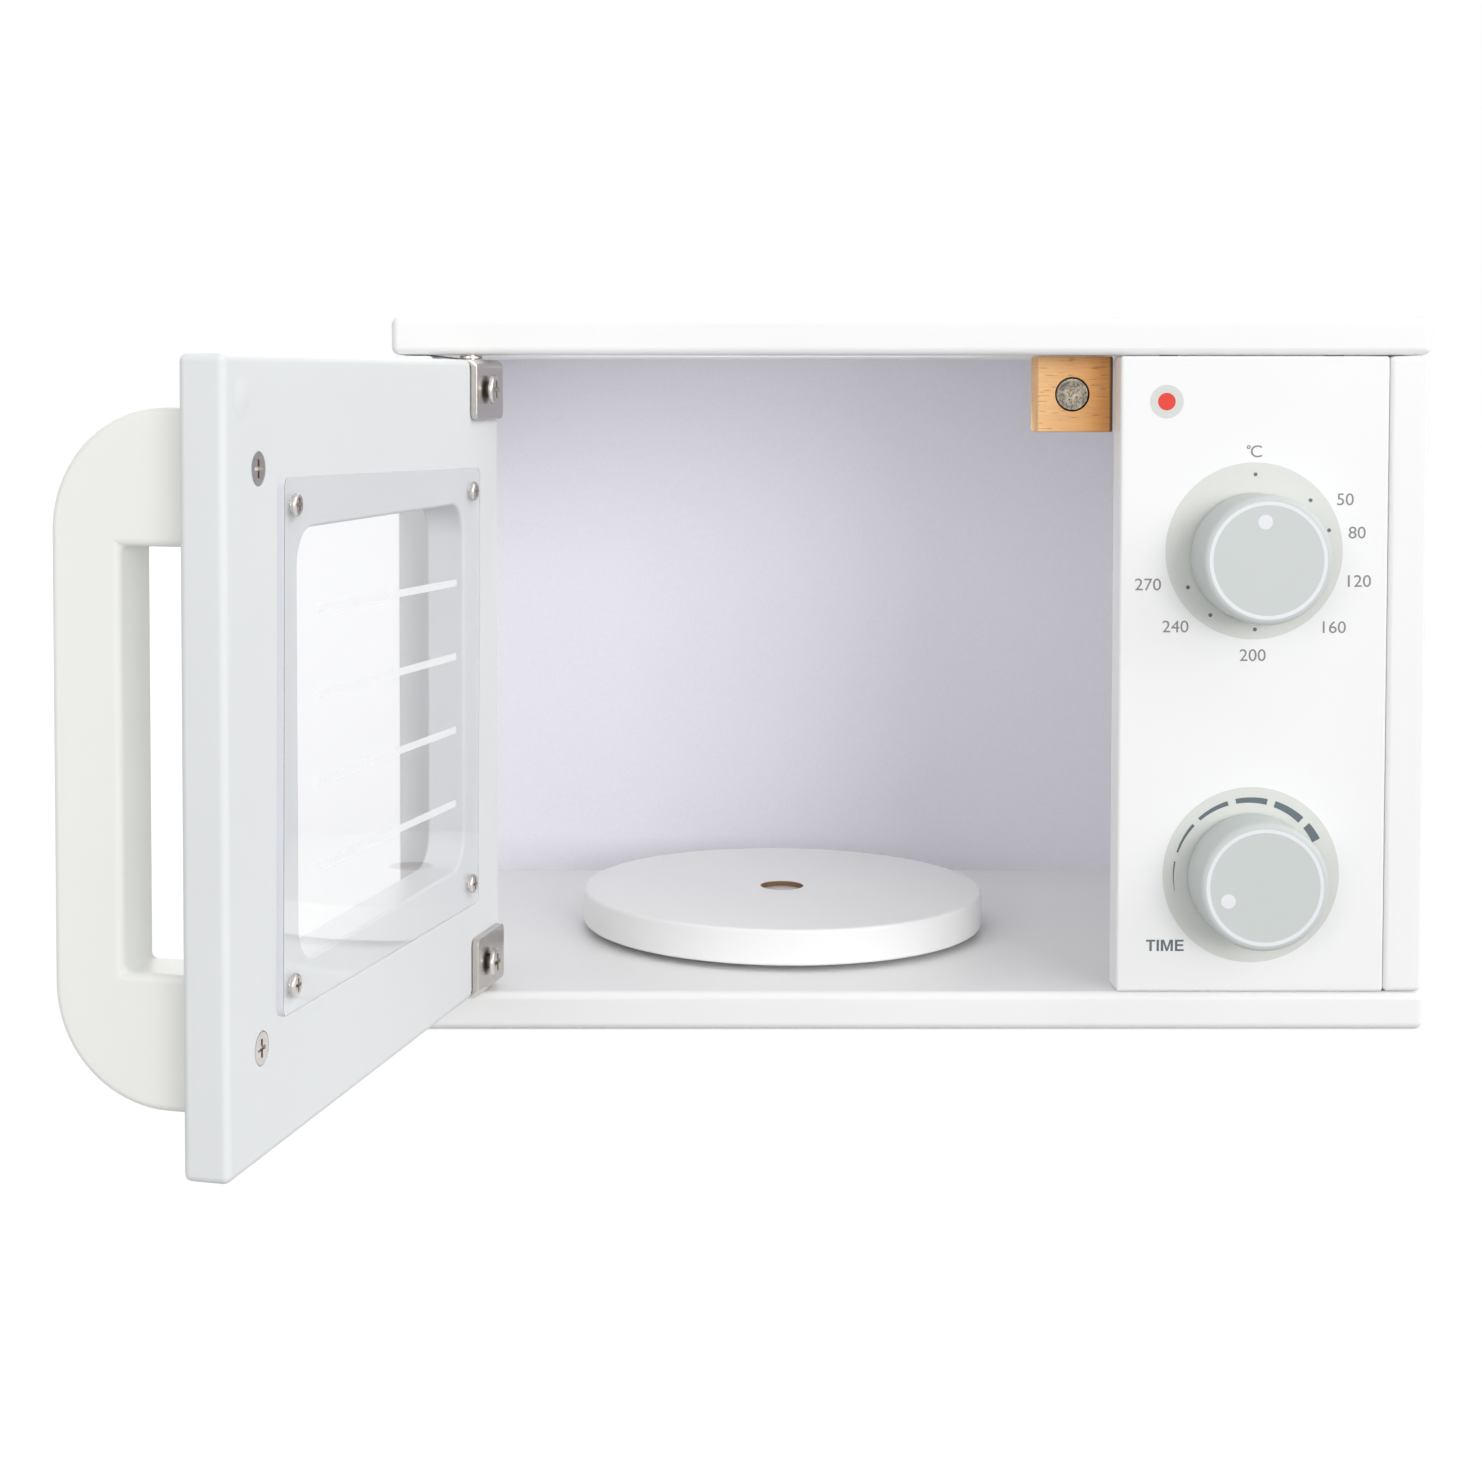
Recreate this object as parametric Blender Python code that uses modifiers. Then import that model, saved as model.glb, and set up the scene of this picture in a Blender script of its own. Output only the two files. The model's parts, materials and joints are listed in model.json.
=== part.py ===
"""Toy microwave: a painted board box with a swinging door, a turntable and two knobs.

Metres, +Z up. The origin is on the underside, in the middle of the box, and the front looks along -Y.
The door is drawn standing open. It turns about the line through its two pivot pins.
"""

from math import cos, pi, radians, sin

import bmesh
import bpy
from mathutils import Matrix, Vector

# Fits
SEAT_GAP = 0.0003          # between pieces that rest on or in each other
RUNNING_GAP = 0.0005       # beside anything that turns
OVERRUN = 0.0020           # how far a cutter passes the face that it opens

# Box
BOARD_WIDTH = 0.3250
BOX_DEPTH = 0.1950
BOARD_THICKNESS = 0.0120
BOARD_EDGE_RADIUS = 0.0025
PANEL_HEIGHT = 0.2000
PANEL_THICKNESS = 0.0120
PANEL_INSET = 0.0010       # the boards overhang the side panels by this much
PANEL_EDGE_RADIUS = 0.0015
BACK_THICKNESS = 0.0030
BACK_EDGE_RADIUS = 0.0004
CONTROL_WIDTH = 0.0840
CONTROL_THICKNESS = 0.0120
CONTROL_EDGE_RADIUS = 0.0010

# Dowels between panels and boards
DOWEL_RADIUS = 0.0030
DOWEL_IN_BOARD = 0.0080
DOWEL_IN_PANEL = 0.0160
SIDE_DOWEL_SETBACK = 0.0350
CONTROL_DOWEL_SETBACK = 0.0160

# Screws that hold the back panel
BACK_SCREW_HEAD_RADIUS = 0.0028
BACK_SCREW_RADIUS = 0.0014
BACK_SCREW_LENGTH = 0.0160
BACK_SCREW_SETBACK = 0.0200

# Magnet catch
BLOCK_WIDTH = 0.0240
BLOCK_HEIGHT = 0.0240
BLOCK_DEPTH = 0.0130
BLOCK_EDGE_RADIUS = 0.0008
BLOCK_BEHIND_DOOR = 0.0010
MAGNET_RADIUS = 0.0050
MAGNET_THICKNESS = 0.0040
MAGNET_INSET = 0.0111      # from the block's side away from the control panel

# Turntable
DISC_RADIUS = 0.0700
DISC_THICKNESS = 0.0120
DISC_EDGE_RADIUS = 0.0012
DISC_FROM_PANEL = 0.1150   # its axis, from the left side panel's inner face
SPACER_RADIUS = 0.0100
SPACER_THICKNESS = 0.0014
BOLT_RADIUS = 0.0030
BOLT_HEAD_RADIUS = 0.0064
BOLT_HEAD_HEIGHT = 0.0018
BOLT_HEAD_CHAMFER = 0.0003
BOLT_HEAD_SINK = 0.0010    # below the top of the disc
BOLT_IN_BOARD = 0.0090
COUNTERBORE_RADIUS = 0.00725

# Knobs
KNOB_RADIUS = 0.0200
KNOB_LENGTH = 0.0175
KNOB_EDGE_RADIUS = 0.0018
KNOB_BACK_RADIUS = 0.0006
TEMPERATURE_KNOB_HEIGHT = 0.1497
TIME_KNOB_HEIGHT = 0.0490
KNOB_SCREW_RADIUS = 0.0018
KNOB_SCREW_HEAD_RADIUS = 0.0035
KNOB_SCREW_HEAD_HEIGHT = 0.0020
KNOB_SCREW_REACH = 0.0120  # of its shank inside the knob
KNOB_WASHER_RADIUS = 0.0060
KNOB_WASHER_THICKNESS = 0.0010

# Door
DOOR_OPEN_ANGLE = radians(104.5)
DOOR_THICKNESS = 0.0120
DOOR_EDGE_RADIUS = 0.0015
DOOR_SIDE_GAP = 0.0026
PIVOT_SETBACK = 0.0090     # from the hinge edge to the pivot line
WINDOW_HINGE_STILE = 0.0383
WINDOW_FREE_STILE = 0.0412
WINDOW_RAIL = 0.0437
WINDOW_CORNER_RADIUS = 0.0100

# Window plate
PLATE_OVERLAP = 0.0120
PLATE_THICKNESS = 0.0025
PLATE_CORNER_RADIUS = 0.0025
PLATE_SCREW_INSET = 0.0070
PLATE_SCREW_RADIUS = 0.0015
PLATE_SCREW_HEAD_RADIUS = 0.0029
PLATE_SCREW_HEAD_HEIGHT = 0.0016
PLATE_SCREW_LENGTH = 0.0080

# Handle
HANDLE_HEIGHT = 0.1715
HANDLE_THICKNESS = 0.0180
HANDLE_REACH = 0.0388
HANDLE_GRIP = 0.0185
HANDLE_ARM = 0.0337
HANDLE_CORNER_RADIUS = 0.0300
HANDLE_EDGE_RADIUS = 0.0020
HANDLE_SETBACK = 0.0199    # from the door's free edge to the middle of the handle
HANDLE_SCREW_INSET = 0.0149
HANDLE_SCREW_RADIUS = 0.0020
HANDLE_SCREW_HEAD_RADIUS = 0.0041
HANDLE_SCREW_LENGTH = 0.0300

# Pivot brackets
BRACKET_LENGTH = 0.0260
BRACKET_LEG = 0.0184
BRACKET_FOOT = 0.0130
BRACKET_THICKNESS = 0.0020
BRACKET_BEND_RADIUS = 0.0025
BRACKET_CORNER_RADIUS = 0.0020
BRACKET_SETBACK = 0.0023   # from the door's hinge edge
BRACKET_SCREW_SETBACK = 0.0165
BRACKET_SCREW_DROP = 0.0092
BRACKET_SCREW_RADIUS = 0.0020
BRACKET_SCREW_HEAD_RADIUS = 0.00445
BRACKET_SCREW_HEAD_HEIGHT = 0.0022
BRACKET_SCREW_LENGTH = 0.0120
PIN_RADIUS = 0.0020
PIN_IN_BOARD = 0.0080
PIN_IN_DOOR = 0.0040
PIVOT_WASHER_RADIUS = 0.0035
PIVOT_WASHER_THICKNESS = 0.0010

# Strike screw, which the magnet holds
STRIKE_RADIUS = 0.0048
STRIKE_PROUD = 0.0006
STRIKE_SCREW_RADIUS = 0.0020
STRIKE_SCREW_LENGTH = 0.0095

# How finely round shapes are divided
DISC_STEPS = 64
KNOB_STEPS = 40
SMALL_STEPS = 16
EDGE_SEGMENTS = 3
CORNER_SEGMENTS = 8

# Places across the box
LEFT = -BOARD_WIDTH / 2
RIGHT = BOARD_WIDTH / 2
LEFT_PANEL_INNER = LEFT + PANEL_INSET + PANEL_THICKNESS
LEFT_PANEL_MIDDLE = LEFT_PANEL_INNER - PANEL_THICKNESS / 2
RIGHT_PANEL_INNER = RIGHT - PANEL_INSET - PANEL_THICKNESS
RIGHT_PANEL_MIDDLE = RIGHT_PANEL_INNER + PANEL_THICKNESS / 2
CONTROL_RIGHT = RIGHT_PANEL_INNER - SEAT_GAP
CONTROL_LEFT = CONTROL_RIGHT - CONTROL_WIDTH
CONTROL_MIDDLE = (CONTROL_LEFT + CONTROL_RIGHT) / 2

# Places from front to back
FRONT = -BOX_DEPTH / 2
REAR = BOX_DEPTH / 2
BACK_PANEL_FRONT = REAR - BACK_THICKNESS
PANEL_REAR = BACK_PANEL_FRONT - SEAT_GAP
CONTROL_REAR = FRONT + CONTROL_THICKNESS
CAVITY_MIDDLE = (FRONT + BACK_PANEL_FRONT) / 2

# Heights
FLOOR = BOARD_THICKNESS
PANEL_BOTTOM = FLOOR + SEAT_GAP
PANEL_TOP = PANEL_BOTTOM + PANEL_HEIGHT
CEILING = PANEL_TOP + SEAT_GAP
BOX_TOP = CEILING + BOARD_THICKNESS

# The door's own frame: X from the pivot line to the free edge, +Y to the inner face, Z up
PIVOT_X = LEFT_PANEL_INNER + DOOR_SIDE_GAP + PIVOT_SETBACK
PIVOT_Y = FRONT + DOOR_THICKNESS / 2
DOOR_WIDTH = CONTROL_LEFT - LEFT_PANEL_INNER - 2 * DOOR_SIDE_GAP
DOOR_END_GAP = PIVOT_WASHER_THICKNESS + 2 * SEAT_GAP
DOOR_BOTTOM = FLOOR + DOOR_END_GAP
DOOR_TOP = CEILING - DOOR_END_GAP
DOOR_MIDDLE = (DOOR_BOTTOM + DOOR_TOP) / 2
HINGE_EDGE = -PIVOT_SETBACK
FREE_EDGE = HINGE_EDGE + DOOR_WIDTH
DOOR_INNER = DOOR_THICKNESS / 2
DOOR_OUTER = -DOOR_THICKNESS / 2
WINDOW_LOW = Vector((HINGE_EDGE + WINDOW_HINGE_STILE, DOOR_OUTER, DOOR_BOTTOM + WINDOW_RAIL))
WINDOW_HIGH = Vector((FREE_EDGE - WINDOW_FREE_STILE, DOOR_INNER, DOOR_TOP - WINDOW_RAIL))
HANDLE_MIDDLE = FREE_EDGE - HANDLE_SETBACK

# Turntable
DISC_X = LEFT_PANEL_INNER + DISC_FROM_PANEL
DISC_Y = CAVITY_MIDDLE
DISC_BOTTOM = FLOOR + SPACER_THICKNESS + 2 * SEAT_GAP
DISC_TOP = DISC_BOTTOM + DISC_THICKNESS
BOLT_HEAD_TOP = DISC_TOP - BOLT_HEAD_SINK
COUNTERBORE_DEPTH = BOLT_HEAD_SINK + BOLT_HEAD_HEIGHT + RUNNING_GAP

# Magnet catch
BLOCK_LEFT = CONTROL_LEFT - BLOCK_WIDTH
BLOCK_FRONT = FRONT + DOOR_THICKNESS + BLOCK_BEHIND_DOOR
MAGNET_X = BLOCK_LEFT + MAGNET_INSET
MAGNET_Z = CEILING - SEAT_GAP - BLOCK_HEIGHT / 2

# Knob washer and screw, counted back from the control panel's rear face
KNOB_WASHER_FRONT = CONTROL_REAR + SEAT_GAP
KNOB_SCREW_SEAT = KNOB_WASHER_FRONT + KNOB_WASHER_THICKNESS + SEAT_GAP
KNOB_REAR = FRONT - RUNNING_GAP

# Which way a turned piece's +Z looks
UP = (0, 0, 0)
DOWN = (pi, 0, 0)
TO_FRONT = (pi / 2, 0, 0)
TO_REAR = (-pi / 2, 0, 0)


def clear_scene():
    """Start from nothing."""
    for item in list(bpy.data.objects):
        bpy.data.objects.remove(item, do_unlink=True)


def new_collection(name):
    """A collection in the scene."""
    collection = bpy.data.collections.new(name)
    bpy.context.scene.collection.children.link(collection)
    return collection


def new_material(name, colour, roughness, metallic=0.0, alpha=1.0):
    """A plain finish."""
    finish = bpy.data.materials.new(name)
    finish.use_nodes = True
    shader = finish.node_tree.nodes["Principled BSDF"]
    shader.inputs["Base Color"].default_value = (*colour, 1.0)
    shader.inputs["Roughness"].default_value = roughness
    shader.inputs["Metallic"].default_value = metallic
    shader.inputs["Alpha"].default_value = alpha
    return finish


clear_scene()
PIECES = new_collection("toy_microwave")
CUTTERS = new_collection("cutters")
WHITE_PAINT = new_material("white_paint", (0.90, 0.90, 0.90), 0.35)
GREY_BACK = new_material("grey_back_board", (0.62, 0.61, 0.66), 0.60)
BEECH = new_material("beech", (0.80, 0.50, 0.26), 0.60)
KNOB_GREEN = new_material("knob_grey_green", (0.62, 0.66, 0.64), 0.45)
NICKEL = new_material("nickel", (0.62, 0.59, 0.58), 0.25, metallic=1.0)
DARK_MAGNET = new_material("magnet", (0.35, 0.31, 0.25), 0.40, metallic=1.0)
CLEAR_ACRYLIC = new_material("clear_acrylic", (0.95, 0.96, 0.97), 0.05, alpha=0.25)


def new_piece(name, mesh, finish, parent=None, location=(0, 0, 0), rotation=UP):
    """A named piece of the microwave."""
    piece = bpy.data.objects.new(name, mesh)
    mesh.materials.append(finish)
    PIECES.objects.link(piece)
    piece.parent = parent
    piece.location = location
    piece.rotation_euler = rotation
    return piece


def new_cutter(name, mesh, parent=None, location=(0, 0, 0), rotation=UP):
    """A hidden shape that is taken out of a piece."""
    cutter = bpy.data.objects.new(name, mesh)
    CUTTERS.objects.link(cutter)
    cutter.parent = parent
    cutter.location = location
    cutter.rotation_euler = rotation
    cutter.hide_render = True
    cutter.display_type = "WIRE"
    return cutter


def cut(piece, cutter):
    """Take one shape out of a piece."""
    modifier = piece.modifiers.new("cut " + cutter.name, "BOOLEAN")
    modifier.operation = "DIFFERENCE"
    modifier.solver = "EXACT"
    modifier.object = cutter


def block_mesh(name, size, corner_radius=0.0):
    """A block about the origin. With a corner radius, its four edges along Y are rounded."""
    mesh = bpy.data.meshes.new(name)
    shape = bmesh.new()
    bmesh.ops.create_cube(shape, size=1.0)
    bmesh.ops.scale(shape, vec=size, verts=shape.verts)
    if corner_radius > 0.0:
        along_y = [e for e in shape.edges if abs(e.verts[0].co.y - e.verts[1].co.y) > size.y / 2]
        bmesh.ops.bevel(shape, geom=along_y, offset=corner_radius, segments=CORNER_SEGMENTS,
                        profile=0.5, affect="EDGES")
    shape.to_mesh(mesh)
    shape.free()
    return mesh


def round_edges(piece, radius):
    """Round every sharp edge of a piece, and shade it smooth between them."""
    modifier = piece.modifiers.new("rounded edges", "BEVEL")
    modifier.width = radius
    modifier.segments = EDGE_SEGMENTS
    modifier.limit_method = "ANGLE"
    piece.data.shade_smooth()
    piece.data.set_sharp_from_angle(angle=pi / 6)


def block_piece(name, low, high, finish, edge_radius, parent=None):
    """A board or block between two corners, with rounded edges."""
    low = Vector(low)
    high = Vector(high)
    piece = new_piece(name, block_mesh(name, high - low), finish, parent, (low + high) / 2)
    round_edges(piece, edge_radius)
    return piece


def turned_mesh(name, profile):
    """The profile of a turned piece: radius and height of each point, down its outer side."""
    mesh = bpy.data.meshes.new(name)
    shape = bmesh.new()
    points = [shape.verts.new((radius, 0, height)) for radius, height in profile]
    for start, end in zip(points, points[1:]):
        shape.edges.new((start, end))
    if profile[0][0] > 0:
        shape.edges.new((points[-1], points[0]))
    shape.to_mesh(mesh)
    shape.free()
    return mesh


def turn(thing, steps):
    """Turn a profile round its own Z."""
    modifier = thing.modifiers.new("turned", "SCREW")
    modifier.axis = "Z"
    modifier.angle = 2 * pi
    modifier.steps = steps
    modifier.render_steps = steps
    modifier.use_merge_vertices = True
    modifier.merge_threshold = 0.00001
    modifier.use_smooth_shade = True


def turned_piece(name, profile, finish, steps, parent=None, location=(0, 0, 0), rotation=UP):
    """A turned piece, whose origin is on its own axis."""
    piece = new_piece(name, turned_mesh(name, profile), finish, parent, location, rotation)
    turn(piece, steps)
    return piece


def bore(piece, profile, name, parent=None, location=(0, 0, 0), rotation=UP, steps=SMALL_STEPS):
    """Take a turned shape out of a piece."""
    cutter = new_cutter(name, turned_mesh(name, profile), parent, location, rotation)
    turn(cutter, steps)
    cut(piece, cutter)


def hole(radius, depth):
    """The profile of a plain hole: it starts above the face, and ends at its depth below it."""
    return [(0, OVERRUN), (radius, OVERRUN), (radius, -depth), (0, -depth)]


def through_hole(radius, thickness):
    """The profile of a hole right through."""
    return hole(radius, thickness + OVERRUN)


def rod(radius, low, high):
    """The profile of a plain round rod."""
    return [(0, high), (radius, high), (radius, low), (0, low)]


def quarter(centre_radius, centre_height, radius, start):
    """Points of a quarter round in a profile, clockwise from the start angle."""
    turns = [start - index * pi / 2 / EDGE_SEGMENTS for index in range(EDGE_SEGMENTS + 1)]
    return [(centre_radius + radius * cos(a), centre_height + radius * sin(a)) for a in turns]


def ring(inner, outer, low, high):
    """The closed profile of a washer."""
    return [(inner, high), (outer, high), (outer, low), (inner, low)]


def countersunk(head, shank, length, proud=0.0):
    """The profile of a countersunk screw. Height zero is the face that it is sunk in."""
    top = [(0, proud), (head - proud, proud)] if proud > 0 else [(0, 0)]
    return top + [(head, 0), (shank, shank - head), (shank, shank - length), (0, -length)]


def countersink(head, shank, length):
    """The hole for a countersunk screw."""
    head += SEAT_GAP
    shank += SEAT_GAP
    return [(0, OVERRUN), (head, OVERRUN), (head, -SEAT_GAP), (shank, shank - head - SEAT_GAP),
            (shank, -length - SEAT_GAP), (0, -length - SEAT_GAP)]


def pan_head(head, height, shank, length):
    """The profile of a pan-head screw. Height zero is the underside of its head."""
    crown = quarter(head - height / 2, height / 2, height / 2, pi / 2)
    return [(0, height)] + crown + [(head, 0), (shank, 0), (shank, shank - length), (0, -length)]


def pin_hole(piece, name, x, y, face, rotation):
    """The blind hole that a pivot pin turns in."""
    bore(piece, hole(PIN_RADIUS + SEAT_GAP, PIN_IN_BOARD + SEAT_GAP), name,
         location=(x, y, face), rotation=rotation)


def dowel_places():
    """Name, X and Y of every dowel joint, the same above and below."""
    for panel, x in (("left", LEFT_PANEL_MIDDLE), ("right", RIGHT_PANEL_MIDDLE)):
        yield panel, "front", x, FRONT + SIDE_DOWEL_SETBACK
        yield panel, "rear", x, PANEL_REAR - SIDE_DOWEL_SETBACK
    middle = (FRONT + CONTROL_REAR) / 2
    yield "control", "left", CONTROL_LEFT + CONTROL_DOWEL_SETBACK, middle
    yield "control", "right", CONTROL_RIGHT - CONTROL_DOWEL_SETBACK, middle


def dowel_holes(piece, face, rotation, depth, panel=None):
    """The dowel holes of one board, or of one end of one panel."""
    for owner, side, x, y in dowel_places():
        if panel in (None, owner):
            name = f"dowel_hole_{piece.name}_{owner}_{side}_{'low' if face < DOOR_MIDDLE else 'high'}"
            bore(piece, hole(DOWEL_RADIUS + SEAT_GAP, depth + SEAT_GAP), name,
                 location=(x, y, face), rotation=rotation)


def back_screw_places():
    """Name, X and Z of the screws that hold the back panel to the side panels."""
    heights = {"low": PANEL_BOTTOM + BACK_SCREW_SETBACK,
               "middle": (PANEL_BOTTOM + PANEL_TOP) / 2,
               "high": PANEL_TOP - BACK_SCREW_SETBACK}
    for level, z in heights.items():
        yield "left", level, LEFT_PANEL_MIDDLE, z
        yield "right", level, RIGHT_PANEL_MIDDLE, z


def make_boards():
    """Top and bottom board, with their dowel and pin holes."""
    bottom = block_piece("bottom_board", (LEFT, FRONT, 0), (RIGHT, REAR, FLOOR), WHITE_PAINT,
                         BOARD_EDGE_RADIUS)
    dowel_holes(bottom, FLOOR, UP, DOWEL_IN_BOARD)
    pin_hole(bottom, "pin_hole_lower", PIVOT_X, PIVOT_Y, FLOOR, UP)
    bore(bottom, hole(BOLT_RADIUS + SEAT_GAP, BOLT_IN_BOARD + SEAT_GAP), "bolt_hole",
         location=(DISC_X, DISC_Y, FLOOR))

    top = block_piece("top_board", (LEFT, FRONT, CEILING), (RIGHT, REAR, BOX_TOP), WHITE_PAINT,
                      BOARD_EDGE_RADIUS)
    dowel_holes(top, CEILING, DOWN, DOWEL_IN_BOARD)
    pin_hole(top, "pin_hole_upper", PIVOT_X, PIVOT_Y, CEILING, DOWN)


def make_side_panels():
    """Left and right side panel, with holes for dowels and for the back panel's screws."""
    for side, middle in (("left", LEFT_PANEL_MIDDLE), ("right", RIGHT_PANEL_MIDDLE)):
        low = (middle - PANEL_THICKNESS / 2, FRONT, PANEL_BOTTOM)
        high = (middle + PANEL_THICKNESS / 2, PANEL_REAR, PANEL_TOP)
        panel = block_piece(side + "_side_panel", low, high, WHITE_PAINT, PANEL_EDGE_RADIUS)
        dowel_holes(panel, PANEL_BOTTOM, DOWN, DOWEL_IN_PANEL, side)
        dowel_holes(panel, PANEL_TOP, UP, DOWEL_IN_PANEL, side)
        depth = BACK_SCREW_LENGTH - BACK_THICKNESS
        for owner, level, x, z in back_screw_places():
            if owner == side:
                bore(panel, hole(BACK_SCREW_RADIUS + SEAT_GAP, depth), f"back_pilot_{side}_{level}",
                     location=(x, PANEL_REAR, z), rotation=TO_REAR)


def make_control_panel():
    """The board that carries the knobs."""
    low = (CONTROL_LEFT, FRONT, PANEL_BOTTOM)
    high = (CONTROL_RIGHT, CONTROL_REAR, PANEL_TOP)
    panel = block_piece("control_panel", low, high, WHITE_PAINT, CONTROL_EDGE_RADIUS)
    dowel_holes(panel, PANEL_BOTTOM, DOWN, DOWEL_IN_PANEL, "control")
    dowel_holes(panel, PANEL_TOP, UP, DOWEL_IN_PANEL, "control")
    for name, height in (("temperature", TEMPERATURE_KNOB_HEIGHT), ("time", TIME_KNOB_HEIGHT)):
        bore(panel, through_hole(KNOB_SCREW_RADIUS + RUNNING_GAP, CONTROL_THICKNESS), name + "_screw_hole",
             location=(CONTROL_MIDDLE, FRONT, height), rotation=TO_FRONT)


def make_back():
    """The thin back panel and its countersunk screws."""
    low = (LEFT + PANEL_INSET, BACK_PANEL_FRONT, PANEL_BOTTOM)
    high = (RIGHT - PANEL_INSET, REAR, PANEL_TOP)
    back = block_piece("back_panel", low, high, GREY_BACK, BACK_EDGE_RADIUS)
    for side, level, x, z in back_screw_places():
        bore(back, countersink(BACK_SCREW_HEAD_RADIUS, BACK_SCREW_RADIUS, BACK_SCREW_LENGTH),
             f"back_screw_hole_{side}_{level}", location=(x, REAR, z), rotation=TO_REAR)
        turned_piece(f"back_screw_{side}_{level}",
                     countersunk(BACK_SCREW_HEAD_RADIUS, BACK_SCREW_RADIUS, BACK_SCREW_LENGTH - SEAT_GAP),
                     NICKEL, SMALL_STEPS, location=(x, REAR, z), rotation=TO_REAR)


def make_dowels():
    """The dowels, half in a board and half in a panel, above and below."""
    for panel, side, x, y in dowel_places():
        lengths = (-DOWEL_IN_PANEL, DOWEL_IN_BOARD + SEAT_GAP)
        turned_piece(f"dowel_{panel}_top_{side}", rod(DOWEL_RADIUS, *lengths), BEECH,
                     SMALL_STEPS, location=(x, y, PANEL_TOP), rotation=UP)
        turned_piece(f"dowel_{panel}_bottom_{side}", rod(DOWEL_RADIUS, *lengths), BEECH,
                     SMALL_STEPS, location=(x, y, PANEL_BOTTOM), rotation=DOWN)


def make_magnet_catch():
    """The wooden block under the top board and the magnet in its front."""
    low = (BLOCK_LEFT, BLOCK_FRONT, CEILING - SEAT_GAP - BLOCK_HEIGHT)
    high = (CONTROL_LEFT, BLOCK_FRONT + BLOCK_DEPTH, CEILING - SEAT_GAP)
    block = block_piece("magnet_block", low, high, BEECH, BLOCK_EDGE_RADIUS)
    place = (MAGNET_X, BLOCK_FRONT, MAGNET_Z)
    bore(block, hole(MAGNET_RADIUS + SEAT_GAP, MAGNET_THICKNESS + SEAT_GAP), "magnet_hole",
         location=place, rotation=TO_FRONT)
    turned_piece("door_magnet", rod(MAGNET_RADIUS, -MAGNET_THICKNESS, 0), DARK_MAGNET,
                 SMALL_STEPS, location=place, rotation=TO_FRONT)


def make_turntable():
    """The disc, the bolt that it turns on and the spacer under it."""
    low = -DISC_THICKNESS
    inset = DISC_RADIUS - DISC_EDGE_RADIUS
    bore_radius = BOLT_RADIUS + RUNNING_GAP
    profile = [(COUNTERBORE_RADIUS, 0)]
    profile += quarter(inset, -DISC_EDGE_RADIUS, DISC_EDGE_RADIUS, pi / 2)
    profile += quarter(inset, low + DISC_EDGE_RADIUS, DISC_EDGE_RADIUS, 0)
    profile += [(bore_radius, low), (bore_radius, -COUNTERBORE_DEPTH),
                (COUNTERBORE_RADIUS, -COUNTERBORE_DEPTH)]
    turned_piece("turntable_disc", profile, WHITE_PAINT, DISC_STEPS, location=(DISC_X, DISC_Y, DISC_TOP))

    spacer_low = FLOOR + SEAT_GAP
    turned_piece("turntable_spacer", ring(BOLT_RADIUS + SEAT_GAP, SPACER_RADIUS, 0, SPACER_THICKNESS),
                 NICKEL, SMALL_STEPS, location=(DISC_X, DISC_Y, spacer_low))

    chamfer = BOLT_HEAD_CHAMFER
    end = FLOOR - BOLT_IN_BOARD - BOLT_HEAD_TOP
    profile = [(0, 0), (BOLT_HEAD_RADIUS - chamfer, 0), (BOLT_HEAD_RADIUS, -chamfer),
               (BOLT_HEAD_RADIUS, -BOLT_HEAD_HEIGHT), (BOLT_RADIUS, -BOLT_HEAD_HEIGHT),
               (BOLT_RADIUS, end + chamfer), (BOLT_RADIUS - chamfer, end), (0, end)]
    turned_piece("turntable_bolt", profile, NICKEL, SMALL_STEPS, location=(DISC_X, DISC_Y, BOLT_HEAD_TOP))


def make_knob(name, height):
    """One knob with the washer and the screw behind the control panel. Knob and screw turn together."""
    axis = bpy.data.objects.new(name + "_axis", None)
    PIECES.objects.link(axis)
    axis.location = (CONTROL_MIDDLE, FRONT, height)
    axis.rotation_euler = TO_FRONT

    rear = RUNNING_GAP
    face = rear + KNOB_LENGTH
    socket = KNOB_SCREW_RADIUS + SEAT_GAP
    socket_end = rear + KNOB_SCREW_REACH + SEAT_GAP
    profile = [(0, face)]
    profile += quarter(KNOB_RADIUS - KNOB_EDGE_RADIUS, face - KNOB_EDGE_RADIUS, KNOB_EDGE_RADIUS, pi / 2)
    profile += quarter(KNOB_RADIUS - KNOB_BACK_RADIUS, rear + KNOB_BACK_RADIUS, KNOB_BACK_RADIUS, 0)
    profile += [(socket, rear), (socket, socket_end), (0, socket_end)]
    turned_piece(name, profile, KNOB_GREEN, KNOB_STEPS, parent=axis)

    seat = FRONT - KNOB_SCREW_SEAT
    length = KNOB_SCREW_SEAT - KNOB_REAR + KNOB_SCREW_REACH
    profile = pan_head(KNOB_SCREW_HEAD_RADIUS, KNOB_SCREW_HEAD_HEIGHT, KNOB_SCREW_RADIUS, length)
    turned_piece(name + "_screw", profile, NICKEL, SMALL_STEPS, axis, (0, 0, seat), DOWN)

    profile = ring(KNOB_SCREW_RADIUS + RUNNING_GAP, KNOB_WASHER_RADIUS, 0, KNOB_WASHER_THICKNESS)
    turned_piece(name + "_washer", profile, NICKEL, SMALL_STEPS,
                 location=(CONTROL_MIDDLE, KNOB_WASHER_FRONT, height), rotation=TO_REAR)


def make_door_axis():
    """The pivot line, turned to where the door stands open."""
    axis = bpy.data.objects.new("door_axis", None)
    PIECES.objects.link(axis)
    axis.location = (PIVOT_X, PIVOT_Y, 0)
    axis.rotation_euler = (0, 0, -DOOR_OPEN_ANGLE)
    return axis


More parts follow.
